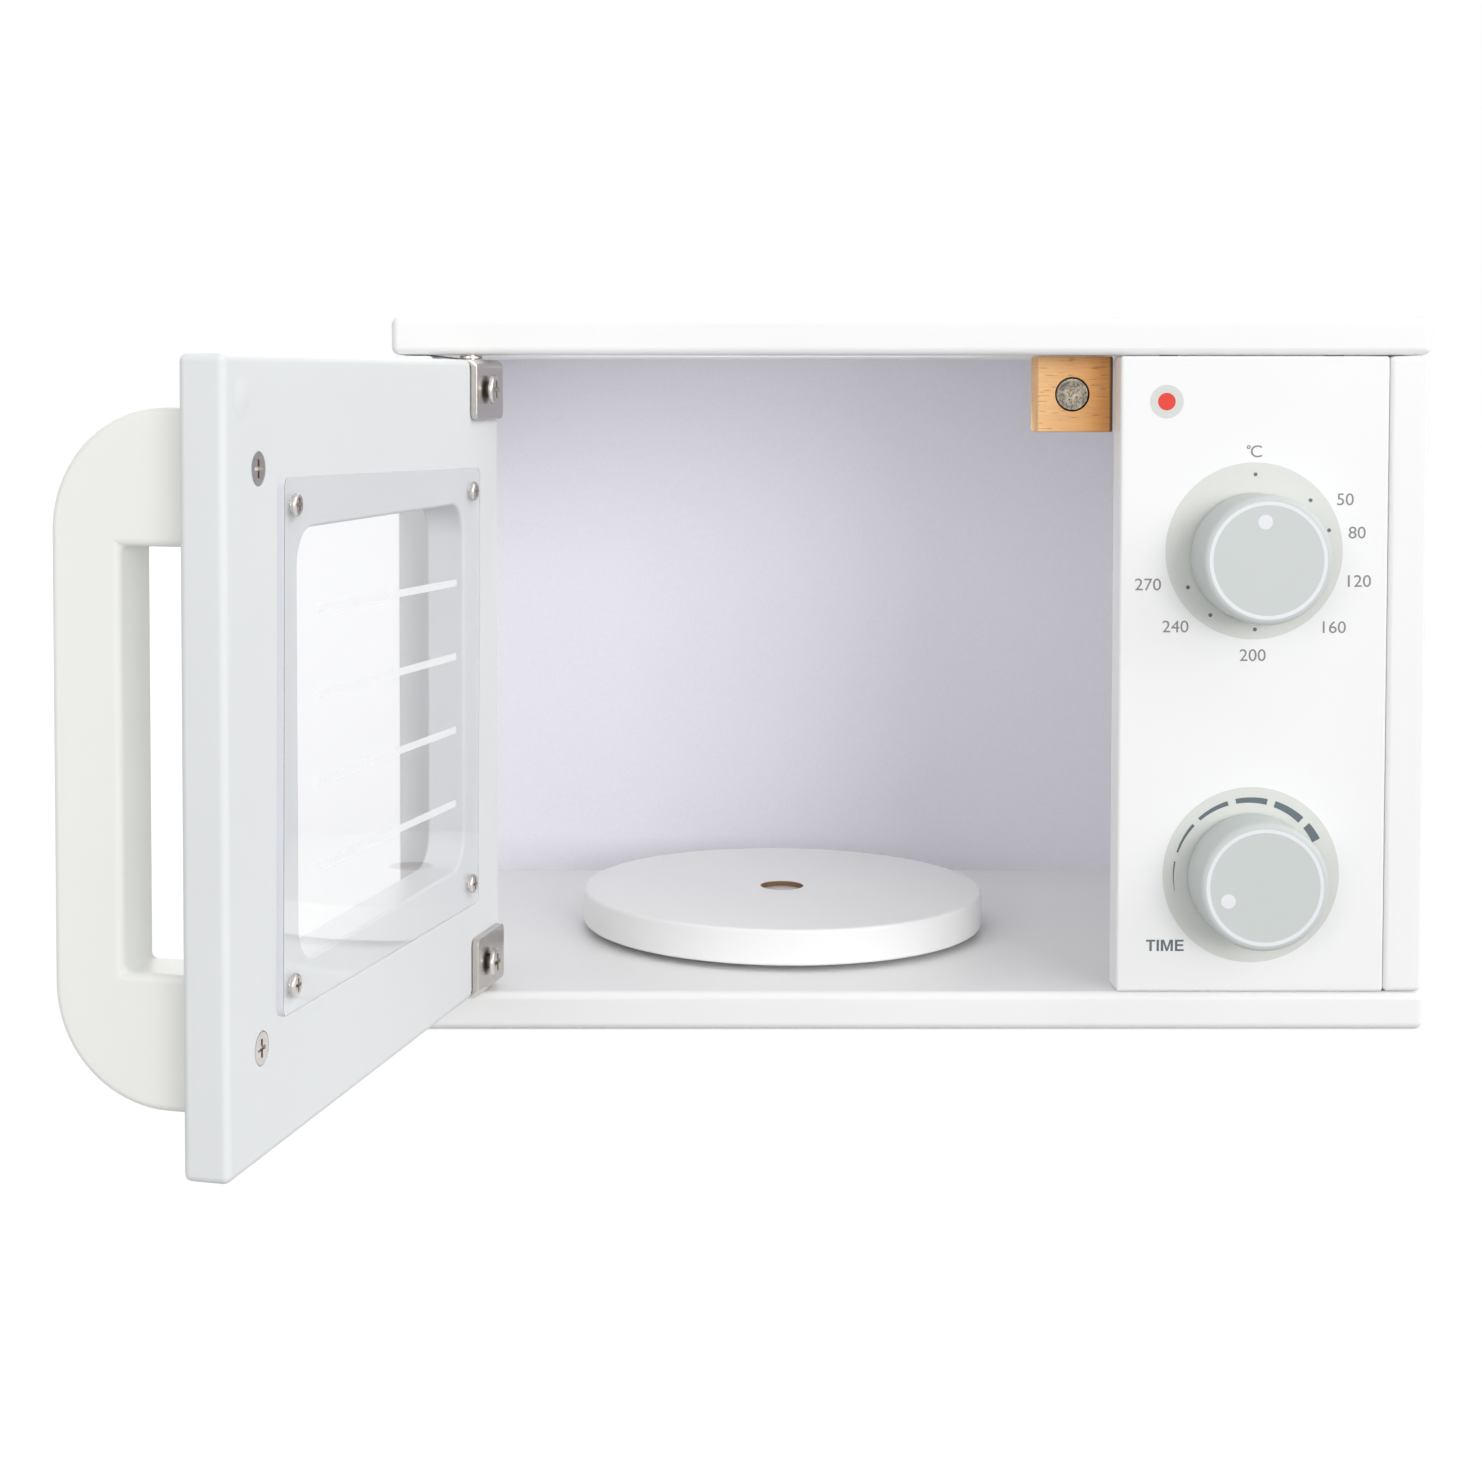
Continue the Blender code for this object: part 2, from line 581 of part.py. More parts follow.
def plate_screw_places():
    """Name, X and Z of the window plate's screws, in the door's frame."""
    inset = PLATE_OVERLAP - PLATE_SCREW_INSET
    for level, z in (("upper", WINDOW_HIGH.z + inset), ("lower", WINDOW_LOW.z - inset)):
        yield level + "_hinge_side", WINDOW_LOW.x - inset, z
        yield level + "_free_side", WINDOW_HIGH.x + inset, z


def handle_screw_places():
    """Name and Z of the handle's screws."""
    yield "upper", DOOR_MIDDLE + HANDLE_HEIGHT / 2 - HANDLE_SCREW_INSET
    yield "lower", DOOR_MIDDLE - HANDLE_HEIGHT / 2 + HANDLE_SCREW_INSET


def bracket_ends():
    """Name, edge of the door, which way is outward, and how a turned piece looks that way."""
    yield "upper", DOOR_TOP, 1, UP
    yield "lower", DOOR_BOTTOM, -1, DOWN


def bracket_screw_place(edge, outward):
    """Middle of a bracket's screw, on the door's inner face."""
    return Vector((HINGE_EDGE + BRACKET_SCREW_SETBACK, DOOR_INNER, edge - outward * BRACKET_SCREW_DROP))


def make_door_board(axis):
    """The door board, with its window, the brackets' rebates and every screw hole."""
    board = block_piece("door_board", (HINGE_EDGE, DOOR_OUTER, DOOR_BOTTOM),
                        (FREE_EDGE, DOOR_INNER, DOOR_TOP), WHITE_PAINT, DOOR_EDGE_RADIUS, axis)

    size = WINDOW_HIGH - WINDOW_LOW + Vector((0, 2 * OVERRUN, 0))
    window = new_cutter("window_cut", block_mesh("window_cut", size, WINDOW_CORNER_RADIUS), axis,
                        (WINDOW_LOW + WINDOW_HIGH) / 2)
    cut(board, window)

    for name, edge, outward, looks in bracket_ends():
        depth = BRACKET_THICKNESS + SEAT_GAP
        foot_end = DOOR_INNER + SEAT_GAP + BRACKET_THICKNESS - BRACKET_FOOT - SEAT_GAP
        size = Vector((BRACKET_LENGTH + 2 * SEAT_GAP, DOOR_INNER + OVERRUN - foot_end, depth + OVERRUN))
        middle = Vector((HINGE_EDGE + BRACKET_SETBACK + BRACKET_LENGTH / 2,
                         (DOOR_INNER + OVERRUN + foot_end) / 2,
                         edge + outward * (OVERRUN - depth) / 2))
        cut(board, new_cutter("rebate_" + name, block_mesh("rebate_" + name, size), axis, middle))
        bore(board, hole(PIN_RADIUS + SEAT_GAP, PIN_IN_DOOR + 2 * SEAT_GAP), "pin_socket_" + name, axis,
             (0, 0, edge - outward * BRACKET_THICKNESS), looks)
        inside_door = BRACKET_SCREW_LENGTH - BRACKET_THICKNESS - SEAT_GAP
        bore(board, hole(BRACKET_SCREW_RADIUS + SEAT_GAP, inside_door), "bracket_pilot_" + name, axis,
             bracket_screw_place(edge, outward), TO_REAR)

    for name, x, z in plate_screw_places():
        inside_door = PLATE_SCREW_LENGTH - PLATE_THICKNESS - SEAT_GAP
        bore(board, hole(PLATE_SCREW_RADIUS + SEAT_GAP, inside_door), "plate_pilot_" + name, axis,
             (x, DOOR_INNER, z), TO_REAR)
    for name, z in handle_screw_places():
        profile = countersink(HANDLE_SCREW_HEAD_RADIUS, HANDLE_SCREW_RADIUS, HANDLE_SCREW_LENGTH)
        bore(board, profile, "handle_screw_hole_" + name, axis, (HANDLE_MIDDLE, DOOR_INNER, z), TO_REAR)
    profile = countersink(STRIKE_RADIUS, STRIKE_SCREW_RADIUS, STRIKE_SCREW_LENGTH)
    bore(board, profile, "strike_hole", axis, (MAGNET_X - PIVOT_X, DOOR_INNER, MAGNET_Z), TO_REAR)


def make_strike(axis):
    """The screw head in the door's inner face that meets the magnet when the door is shut."""
    profile = countersunk(STRIKE_RADIUS, STRIKE_SCREW_RADIUS, STRIKE_SCREW_LENGTH, STRIKE_PROUD)
    turned_piece("strike_screw", profile, WHITE_PAINT, SMALL_STEPS, axis,
                 (MAGNET_X - PIVOT_X, DOOR_INNER, MAGNET_Z), TO_REAR)


def make_window_plate(axis):
    """The clear plate over the window, on the door's inner face, and its four screws."""
    rim = Vector((PLATE_OVERLAP, 0, PLATE_OVERLAP))
    low = WINDOW_LOW - rim
    high = WINDOW_HIGH + rim
    size = Vector((high.x - low.x, PLATE_THICKNESS, high.z - low.z))
    rear = DOOR_INNER + SEAT_GAP
    face = rear + PLATE_THICKNESS
    middle = ((low.x + high.x) / 2, (rear + face) / 2, (low.z + high.z) / 2)
    plate = new_piece("window_plate", block_mesh("window_plate", size, PLATE_CORNER_RADIUS), CLEAR_ACRYLIC,
                      axis, middle)
    for name, x, z in plate_screw_places():
        bore(plate, through_hole(PLATE_SCREW_RADIUS + SEAT_GAP, PLATE_THICKNESS), "plate_hole_" + name, axis,
             (x, face, z), TO_REAR)
        profile = pan_head(PLATE_SCREW_HEAD_RADIUS, PLATE_SCREW_HEAD_HEIGHT, PLATE_SCREW_RADIUS,
                           PLATE_SCREW_LENGTH - SEAT_GAP)
        turned_piece("window_screw_" + name, profile, NICKEL, SMALL_STEPS, axis,
                     (x, face + SEAT_GAP, z), TO_REAR)


def handle_outline():
    """Points of the C-shaped handle: out from the door, then up. Only its outer corners are round."""
    half = HANDLE_HEIGHT / 2
    arm_end = half - HANDLE_ARM
    grip_inner = HANDLE_REACH - HANDLE_GRIP
    centre = HANDLE_REACH - HANDLE_CORNER_RADIUS
    corner = [index * pi / 2 / CORNER_SEGMENTS for index in range(CORNER_SEGMENTS + 1)]
    lower = [(centre + HANDLE_CORNER_RADIUS * sin(a),
              HANDLE_CORNER_RADIUS - half - HANDLE_CORNER_RADIUS * cos(a)) for a in corner]
    upper = [(x, -y) for x, y in reversed(lower)]
    slot = [(0, arm_end), (grip_inner, arm_end), (grip_inner, -arm_end), (0, -arm_end)]
    return [(0, -half)] + lower + upper + [(0, half)] + slot


def make_handle(axis):
    """The C-shaped handle on the door's outer face, and the two screws that come through the door."""
    curve = bpy.data.curves.new("handle_outline", "CURVE")
    curve.dimensions = "2D"
    curve.fill_mode = "BOTH"
    curve.extrude = HANDLE_THICKNESS / 2
    outline = handle_outline()
    spline = curve.splines.new("POLY")
    spline.points.add(len(outline) - 1)
    for point, (out, up) in zip(spline.points, outline):
        point.co = (out, up, 0, 1)
    spline.use_cyclic_u = True
    drawn = bpy.data.objects.new("handle_outline", curve)
    PIECES.objects.link(drawn)
    bpy.context.view_layer.update()
    evaluated = drawn.evaluated_get(bpy.context.evaluated_depsgraph_get())
    mesh = bpy.data.meshes.new_from_object(evaluated)
    bpy.data.objects.remove(drawn)
    shape = bmesh.new()
    shape.from_mesh(mesh)
    bmesh.ops.remove_doubles(shape, verts=shape.verts, dist=0.00001)
    shape.to_mesh(mesh)
    shape.free()
    mesh.materials.clear()

    # Outward from the door is -Y, up stays up
    stand = Matrix(((0, 0, -1), (-1, 0, 0), (0, 1, 0))).to_euler()
    handle = new_piece("door_handle", mesh, WHITE_PAINT, axis,
                       (HANDLE_MIDDLE, DOOR_OUTER - SEAT_GAP, DOOR_MIDDLE), stand)
    round_edges(handle, HANDLE_EDGE_RADIUS)
    for name, z in handle_screw_places():
        inside = HANDLE_SCREW_LENGTH - DOOR_THICKNESS
        bore(handle, hole(HANDLE_SCREW_RADIUS + SEAT_GAP, inside), "handle_pilot_" + name, axis,
             (HANDLE_MIDDLE, DOOR_OUTER - SEAT_GAP, z), TO_REAR)
        profile = countersunk(HANDLE_SCREW_HEAD_RADIUS, HANDLE_SCREW_RADIUS, HANDLE_SCREW_LENGTH)
        turned_piece("handle_screw_" + name, profile, NICKEL, SMALL_STEPS, axis,
                     (HANDLE_MIDDLE, DOOR_INNER, z), TO_REAR)


def bracket_mesh():
    """The outer skin of an L-shaped bracket: down the door's face and over its edge."""
    bend = quarter(-BRACKET_BEND_RADIUS, -BRACKET_BEND_RADIUS, BRACKET_BEND_RADIUS, pi / 2)
    path = [(-BRACKET_FOOT, 0)] + bend + [(0, -BRACKET_LEG)]
    mesh = bpy.data.meshes.new("pivot_bracket")
    shape = bmesh.new()
    points = [shape.verts.new((-BRACKET_LENGTH / 2, y, z)) for y, z in path]
    edges = [shape.edges.new(pair) for pair in zip(points, points[1:])]
    drawn = bmesh.ops.extrude_edge_only(shape, edges=edges)
    moved = [item for item in drawn["geom"] if isinstance(item, bmesh.types.BMVert)]
    bmesh.ops.translate(shape, vec=(BRACKET_LENGTH, 0, 0), verts=moved)
    corners = [vert for vert in shape.verts if len(vert.link_edges) == 2]
    bmesh.ops.bevel(shape, geom=corners, offset=BRACKET_CORNER_RADIUS, segments=EDGE_SEGMENTS,
                    profile=0.5, affect="VERTICES")
    bmesh.ops.recalc_face_normals(shape, faces=shape.faces)
    if max(shape.faces, key=lambda face: face.calc_center_median().z).normal.z < 0:
        bmesh.ops.reverse_faces(shape, faces=shape.faces)
    shape.to_mesh(mesh)
    shape.free()
    return mesh


def make_bracket(axis, name, edge, outward, looks):
    """One pivot bracket with its screw, pin and washer."""
    face = DOOR_INNER + SEAT_GAP + BRACKET_THICKNESS
    turned_over = UP if outward > 0 else (0, pi, 0)
    bracket = new_piece("pivot_bracket_" + name, bracket_mesh(), NICKEL, axis,
                        (HINGE_EDGE + BRACKET_SETBACK + BRACKET_LENGTH / 2, face, edge), turned_over)
    sheet = bracket.modifiers.new("sheet", "SOLIDIFY")
    sheet.thickness = BRACKET_THICKNESS
    sheet.offset = -1
    bracket.data.shade_smooth()
    bracket.data.set_sharp_from_angle(angle=pi / 6)
    bore(bracket, through_hole(PIN_RADIUS + SEAT_GAP, BRACKET_THICKNESS), "bracket_pin_hole_" + name, axis,
         (0, 0, edge), looks)
    screw_face = bracket_screw_place(edge, outward)
    screw_face.y = face
    bore(bracket, through_hole(BRACKET_SCREW_RADIUS + SEAT_GAP, BRACKET_THICKNESS),
         "bracket_screw_hole_" + name, axis, screw_face, TO_REAR)

    profile = pan_head(BRACKET_SCREW_HEAD_RADIUS, BRACKET_SCREW_HEAD_HEIGHT, BRACKET_SCREW_RADIUS,
                       BRACKET_SCREW_LENGTH - SEAT_GAP)
    screw_face.y = face + SEAT_GAP
    turned_piece("bracket_screw_" + name, profile, NICKEL, SMALL_STEPS, axis, screw_face, TO_REAR)

    low = -BRACKET_THICKNESS - PIN_IN_DOOR
    high = DOOR_END_GAP + PIN_IN_BOARD
    turned_piece("pivot_pin_" + name, rod(PIN_RADIUS, low, high), NICKEL, SMALL_STEPS, axis,
                 (0, 0, edge), looks)
    profile = ring(PIN_RADIUS + SEAT_GAP, PIVOT_WASHER_RADIUS, SEAT_GAP, SEAT_GAP + PIVOT_WASHER_THICKNESS)
    turned_piece("pivot_washer_" + name, profile, NICKEL, SMALL_STEPS, axis, (0, 0, edge), looks)


def make_door():
    """Everything that swings."""
    axis = make_door_axis()
    make_door_board(axis)
    make_strike(axis)
    make_window_plate(axis)
    make_handle(axis)
    for name, edge, outward, looks in bracket_ends():
        make_bracket(axis, name, edge, outward, looks)


make_boards()
make_side_panels()
make_control_panel()
make_back()
make_dowels()
make_magnet_catch()
make_turntable()
make_knob("temperature_knob", TEMPERATURE_KNOB_HEIGHT)
make_knob("time_knob", TIME_KNOB_HEIGHT)
make_door()
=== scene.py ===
"""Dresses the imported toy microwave: painted boards, printed dials, nickel fittings and a clear window."""

import json
from math import cos, pi, radians, sin

import bmesh
import bpy
from bpy.props import FloatProperty, FloatVectorProperty, PointerProperty
from mathutils import Matrix, Vector


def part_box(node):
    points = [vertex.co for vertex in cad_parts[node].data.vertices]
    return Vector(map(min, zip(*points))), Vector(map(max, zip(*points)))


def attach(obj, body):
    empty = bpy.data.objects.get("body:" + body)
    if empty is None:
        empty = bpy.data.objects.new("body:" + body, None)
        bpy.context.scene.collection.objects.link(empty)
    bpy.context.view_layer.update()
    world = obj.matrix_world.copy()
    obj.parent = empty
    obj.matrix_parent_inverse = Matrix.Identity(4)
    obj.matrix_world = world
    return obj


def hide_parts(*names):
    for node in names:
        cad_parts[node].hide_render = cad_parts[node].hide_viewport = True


bl_info = {
    "name": "Toy Microwave",
    "version": (1, 0, 0),
    "blender": (4, 5, 0),
    "location": "View3D > Sidebar > Microwave",
    "description": "Dresses the packed toy microwave, piece by piece",
    "category": "Add Mesh",
}

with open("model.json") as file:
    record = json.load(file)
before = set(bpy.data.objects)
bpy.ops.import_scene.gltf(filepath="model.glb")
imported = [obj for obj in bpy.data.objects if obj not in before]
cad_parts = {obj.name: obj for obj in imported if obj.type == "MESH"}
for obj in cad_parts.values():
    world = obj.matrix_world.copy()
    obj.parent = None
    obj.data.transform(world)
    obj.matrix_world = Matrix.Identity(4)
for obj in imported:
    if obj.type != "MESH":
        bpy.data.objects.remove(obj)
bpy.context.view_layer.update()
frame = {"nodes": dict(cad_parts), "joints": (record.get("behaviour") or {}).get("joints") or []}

MM = 0.001
# What closes a seam, how far a cutter reaches past a piece, and how near an edge lies to its face
SEAM_OVERLAP = 0.05 * MM
OVERSHOOT = 2 * MM
NEAR = 0.1 * MM
SMOOTH_ANGLE = radians(30)

door_joint = next(joint for joint in frame["joints"] if joint["name"] == "door_hinge")
DOOR_OPEN_ANGLE = radians(-door_joint["range_deg"][0])
DOOR_PLACE = (Matrix.Translation((door_joint["pos_m"][0], door_joint["pos_m"][1], 0))
              @ Matrix.Rotation(-DOOR_OPEN_ANGLE, 4, "Z"))


def corners_of(points):
    """Lowest and highest corner of a box round some points."""
    points = list(points)
    low = Vector(min(point[axis] for point in points) for axis in range(3))
    high = Vector(max(point[axis] for point in points) for axis in range(3))
    return low, high


def door_box(node):
    """Lowest and highest corner of a door node, in the shut door's own frame."""
    back = DOOR_PLACE.inverted()
    return corners_of(back @ vert.co for vert in frame["nodes"][node].data.vertices)


def centre_of(node, box=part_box):
    """Middle of a node's box."""
    low, high = box(node)
    return (low + high) / 2


# Sizes, colours and light that a user would change

def length(name, description, millimetres):
    """A length that is shown in the sidebar."""
    return FloatProperty(name=name, description=description, default=millimetres * MM, min=0.0,
                         precision=5, subtype="DISTANCE", unit="LENGTH")


def colour(name, description, value):
    """A colour that is shown in the sidebar."""
    return FloatVectorProperty(name=name, description=description, default=value, min=0.0, max=1.0,
                               size=3, subtype="COLOR")


def strength(name, description, value, unit="NONE"):
    """A strength that is shown in the sidebar."""
    return FloatProperty(name=name, description=description, default=value, min=0.0, precision=3, unit=unit)


class MicrowaveSizes(bpy.types.PropertyGroup):
    """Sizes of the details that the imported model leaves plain."""

    board_edge: length("Board edge", "Radius of the top and bottom board's edges", 2.5)
    panel_edge: length("Panel edge", "Radius of the side panels' edges", 1.5)
    control_edge: length("Control panel edge", "Radius of the control panel's edges", 1.0)
    back_edge: length("Back edge", "Radius of the back panel's rear edges", 0.4)
    block_edge: length("Block edge", "Radius of the magnet block's edges", 0.6)
    magnet_edge: length("Magnet edge", "Radius of the disc magnet's rim", 0.35)
    magnet_gap: length("Magnet gap", "Gap round the magnet in its block", 0.45)
    door_edge: length("Door edge", "Radius of the door's outer edges", 2.0)
    window_edge: length("Window edge", "Radius of the edges round the window", 1.0)
    window_corner: length("Window corner", "Radius of the window's corners", 10.0)
    window_overlap: length("Window overlap", "How far the clear plate laps over the door", 12.0)
    plate_thickness: length("Plate thickness", "Thickness of the clear plate", 2.0)
    plate_corner: length("Plate corner", "Radius of the clear plate's corners", 2.5)
    plate_edge: length("Plate edge", "Polish on the clear plate's edges", 0.25)
    plate_lean: FloatProperty(name="Plate lean", description="How far the clear plate sits out of level",
                              default=radians(1.1), subtype="ANGLE", unit="ROTATION")
    stripe_width: length("Stripe width", "Width of the printed stripes on the plate", 2.1)
    stripe_length: length("Stripe length", "Length of the printed stripes on the plate", 108.8)
    stripe_corner: length("Stripe corner", "Radius of the printed stripes' corners", 0.6)
    stripe_pitch: length("Stripe pitch", "Height between two stripes", 22.0)
    handle_arm: length("Handle arm", "Height of the handle's arms", 33.7)
    handle_grip: length("Handle grip", "Width of the bar that the hand holds", 18.5)
    handle_corner: length("Handle corner", "Radius of the handle's two outer corners", 30.0)
    handle_edge: length("Handle edge", "Radius of the handle's edges", 2.0)
    disc_edge: length("Turntable edge", "Radius of the turntable's rim", 1.2)
    knob_edge: length("Knob edge", "Radius of the knobs' front rim", 1.8)
    knob_foot: length("Knob foot", "Radius of the knobs' rear rim", 0.6)
    ring_radius: length("Ring radius", "Outer radius of the white ring on a knob", 18.1)
    ring_width: length("Ring width", "Width of the white ring on a knob", 1.15)
    dot_radius: length("Dot radius", "Radius of the white dot on a knob", 2.25)
    print_thickness: length("Print thickness", "Thickness of a printed layer", 0.04)
    dial_radius: length("Dial radius", "Radius of the printed discs behind the knobs", 27.75)
    numeral_height: length("Numeral height", "Height of the printed numbers", 3.75)
    label_height: length("Label height", "Height of the printed word by the lower dial", 3.6)
    tick_radius: length("Tick radius", "Radius of the dots round the upper dial", 0.62)
    lamp_radius: length("Lamp radius", "Radius of the printed lamp's red disc", 2.75)
    lamp_ring: length("Lamp ring", "Outer radius of the printed lamp's rim", 5.25)
    bracket_sheet: length("Bracket sheet", "Thickness of the pivot brackets", 2.0)
    bracket_bend: length("Bracket bend", "Outer radius of the pivot brackets' bend", 2.5)
    bracket_corner: length("Bracket corner", "Radius of the pivot brackets' corners", 2.0)


class MicrowaveColours(bpy.types.PropertyGroup):
    """Colours of the finishes, as linear values."""

    white_paint: colour("White paint", "Boards, panels and turntable", (0.952, 0.952, 0.952))
    # Painted shade: the door's white is drawn greyer than the cabinet's to stand in for the dimmer light on
    # its inner face
    shaded_door_paint: colour("Door paint", "The door board", (0.84, 0.86, 0.87))
    handle_paint: colour("Handle paint", "The handle", (0.945, 0.95, 0.905))
    back_board: colour("Back board", "The thin back panel", (0.865, 0.85, 0.92))
    raw_board: colour("Raw board", "Fibreboard inside the turntable's hole", (0.26, 0.15, 0.07))
    knob_paint: colour("Knob paint", "The two knobs", (0.62, 0.66, 0.65))
    dial_print: colour("Dial print", "Printed discs behind the knobs", (0.73, 0.745, 0.71))
    white_print: colour("White print", "Rings and dots on the knobs", (0.85, 0.865, 0.90))
    stripe_print: colour("Stripe print", "The thin stripes on the clear plate", (0.96, 0.965, 0.99))
    lamp_rim: colour("Lamp rim", "Rim of the printed lamp", (0.71, 0.72, 0.70))
    lamp_red: colour("Lamp red", "The printed lamp", (0.80, 0.030, 0.012))
    numeral_grey: colour("Numeral grey", "Printed numbers", (0.23, 0.23, 0.23))
    slate_grey: colour("Slate grey", "Printed word, ticks and bars of the dials", (0.11, 0.15, 0.17))
    beech: colour("Beech", "The magnet's block and the dowels", (0.91, 0.54, 0.25))
    # Painted shade: the beech is drawn darker and redder towards the control panel, whose shade falls on it
    shaded_beech: colour("Ripe beech", "The riper wood on the right of the magnet's block", (0.70, 0.32, 0.09))
    beech_fleck: colour("Beech fleck", "Dark flecks in the beech", (0.42, 0.20, 0.08))
    nickel: colour("Nickel", "Brackets, screws, pins and washers", (0.62, 0.585, 0.555))
    # Painted shade: the darker nickel drawn in the screws' recesses and under their heads
    shaded_nickel: colour("Dull nickel", "The screws' recesses and necks", (0.23, 0.185, 0.14))
    magnet: colour("Magnet", "The disc magnet's worn plating", (0.345, 0.31, 0.25))
    acrylic: colour("Acrylic", "The clear window plate", (0.975, 0.980, 0.985))
    sawn_acrylic: colour("Sawn acrylic", "The clear plate's frosted edges", (0.80, 0.805, 0.86))


class MicrowaveStage(bpy.types.PropertyGroup):
    """The floor, the lights and the camera."""

    floor_size: FloatProperty(name="Floor size", description="Width of the floor", default=12.0, min=1.0,
                              subtype="DISTANCE", unit="LENGTH")
    floor_glow: strength("Floor glow", "What the floor adds to its light to look white", 0.74)
    sky: strength("Sky", "Strength of the even light from all round", 0.56)
    key: strength("Key light", "Strength of the low soft light from the front right", 0.98)
    fill: strength("Fill light", "Strength of the low soft light from the front left", 0.58)
    cross: strength("Cross light", "Strength of the wide light from the right corner", 0.38)
    side: strength("Side light", "Strength of the wide light from the right", 0.78)
    rear: strength("Rear light", "Strength of the soft light from behind", 1.2)
    inner: strength("Inner light", "Power of the soft panel under the top board", 0.056, "POWER")
    lens: FloatProperty(name="Lens", description="Focal length of the camera", default=59.09, min=1.0,
                        subtype="DISTANCE_CAMERA")


# Picking, shaping and finishing pieces

def hold(piece):
    """Select one piece alone and make it active."""
    bpy.ops.object.select_all(action="DESELECT")
    piece.select_set(True)
    bpy.context.view_layer.objects.active = piece


class Shaping:
    """Edit mode on one piece, with its faces, edges or corners picked by their place."""

    def __init__(self, piece):
        self.piece = piece

    def __enter__(self):
        hold(self.piece)
        bpy.ops.object.mode_set(mode="EDIT")
        return self

    def __exit__(self, *problem):
        bpy.ops.object.mode_set(mode="OBJECT")

    def pick(self, kind, wanted):
        """Select only those of one kind for which wanted says yes."""
        bpy.ops.mesh.select_mode(type=kind)
        bpy.ops.mesh.select_all(action="DESELECT")
        mesh = bmesh.from_edit_mesh(self.piece.data)
        items = {"VERT": mesh.verts, "EDGE": mesh.edges, "FACE": mesh.faces}[kind]
        for item in items:
            if wanted(item):
                item.select_set(True)
        mesh.select_flush_mode()
        bmesh.update_edit_mesh(self.piece.data)

    def pick_all(self):
        """Select everything."""
        bpy.ops.mesh.select_all(action="SELECT")

    def round(self, radius, segments):
        """Round the edges that are picked."""
        bpy.ops.mesh.bevel(offset=radius, segments=segments, profile=0.5, affect="EDGES")

    def round_above(self, height, radius, segments):
        """Round the edges that lie above a height."""
        self.pick("EDGE", lambda edge: min(vert.co.z for vert in edge.verts) > height)
        self.round(radius, segments)

    def inset(self, width):
        """Draw a smaller outline inside the faces that are picked."""
        bpy.ops.mesh.inset(thickness=width, depth=0)

    def extrude(self, shift):
        """Pull out what is picked."""
        bpy.ops.mesh.extrude_region_move(TRANSFORM_OT_translate={"value": shift})

    def narrow(self, x_share, y_share):
        """Make what is picked narrower."""
        bpy.ops.transform.resize(value=(x_share, y_share, 1))

    def turn_up(self, wanted):
        """Turn the faces one way, so that the first wanted one looks up."""
        self.pick_all()
        bpy.ops.mesh.normals_make_consistent(inside=False)
        first = next(face for face in bmesh.from_edit_mesh(self.piece.data).faces if wanted(face))
        if first.normal.z < 0:
            bpy.ops.mesh.flip_normals()


def along(edge, axis):
    """Whether an edge runs along x, y or z."""
    span = edge.verts[1].co - edge.verts[0].co
    return abs(getattr(span, axis)) > 0.99 * span.length


def is_sharp(edge):
    """Whether the faces at an edge meet at an angle that isn't shaded smooth."""
    return edge.calc_face_angle(0) > SMOOTH_ANGLE


def inside(point, low, high, margin=0.0):
    """Whether a point lies between two corners, by some margin, as seen from the front."""
    return (low.x + margin < point.x < high.x - margin
            and low.z + margin < point.z < high.z - margin)


def middle(edge):
    """Middle of an edge."""
    return (edge.verts[0].co + edge.verts[1].co) / 2


def looks_up(face):
    """Whether a face looks up."""
    return face.normal.z > 0.9


def looks_down(face):
    """Whether a face looks down."""
    return face.normal.z < -0.9


def settle(piece):
    """Leave a piece unturned and unscaled at the origin, with its place in its mesh."""
    hold(piece)
    bpy.ops.object.transform_apply(location=True, rotation=True, scale=True)


def named(name):
    """The object just made, under its own name."""
    piece = bpy.context.object
    piece.name = name
    piece.data.name = name
    return piece


def add_block(name, low, high):
    """A block between two corners."""
    low = Vector(low)
    high = Vector(high)
    bpy.ops.object.select_all(action="DESELECT")
    bpy.ops.mesh.primitive_cube_add(size=1, location=(low + high) / 2, scale=high - low)
    piece = named(name)
    settle(piece)
    return piece


def round_edges(piece, radius, segments, wanted=lambda edge: True):
    """Round the edges of a piece for which wanted says yes."""
    with Shaping(piece) as shape:
        shape.pick("EDGE", wanted)
        shape.round(radius, segments)


def add_rounded_block(name, low, high, radius, segments, axes="xyz"):
    """A block with the edges rounded that run along some axes."""
    block = add_block(name, low, high)
    round_edges(block, radius, segments, lambda edge: any(along(edge, axis) for axis in axes))
    return block


def add_rod(name, radius, low, high, sides):
    """A round rod along Z."""
    bpy.ops.object.select_all(action="DESELECT")
    bpy.ops.mesh.primitive_cylinder_add(vertices=sides, radius=radius, depth=high - low,
                                        location=(0, 0, (low + high) / 2))
    piece = named(name)
    settle(piece)
    return piece


def add_round_sheet(name, radius, sides):
    """A flat round sheet at height zero."""
    bpy.ops.object.select_all(action="DESELECT")
    bpy.ops.mesh.primitive_circle_add(vertices=sides, radius=radius, fill_type="NGON", location=(0, 0, 0))
    return named(name)


def apply_modifier(piece, kind, **settings):
    """Add a modifier to a piece and apply it."""
    hold(piece)
    modifier = piece.modifiers.new(kind.lower(), kind)
    for name, value in settings.items():
        setattr(modifier, name, value)
    bpy.ops.object.modifier_apply(modifier=modifier.name)


def cut(piece, cutter):
    """Take a shape out of a piece, and throw the shape away."""
    apply_modifier(piece, "BOOLEAN", operation="DIFFERENCE", solver="EXACT", object=cutter)
    bpy.data.objects.remove(cutter)


def thicken(piece, thickness):
    """Give a flat sheet its thickness, upwards."""
    apply_modifier(piece, "SOLIDIFY", thickness=thickness, offset=1.0)


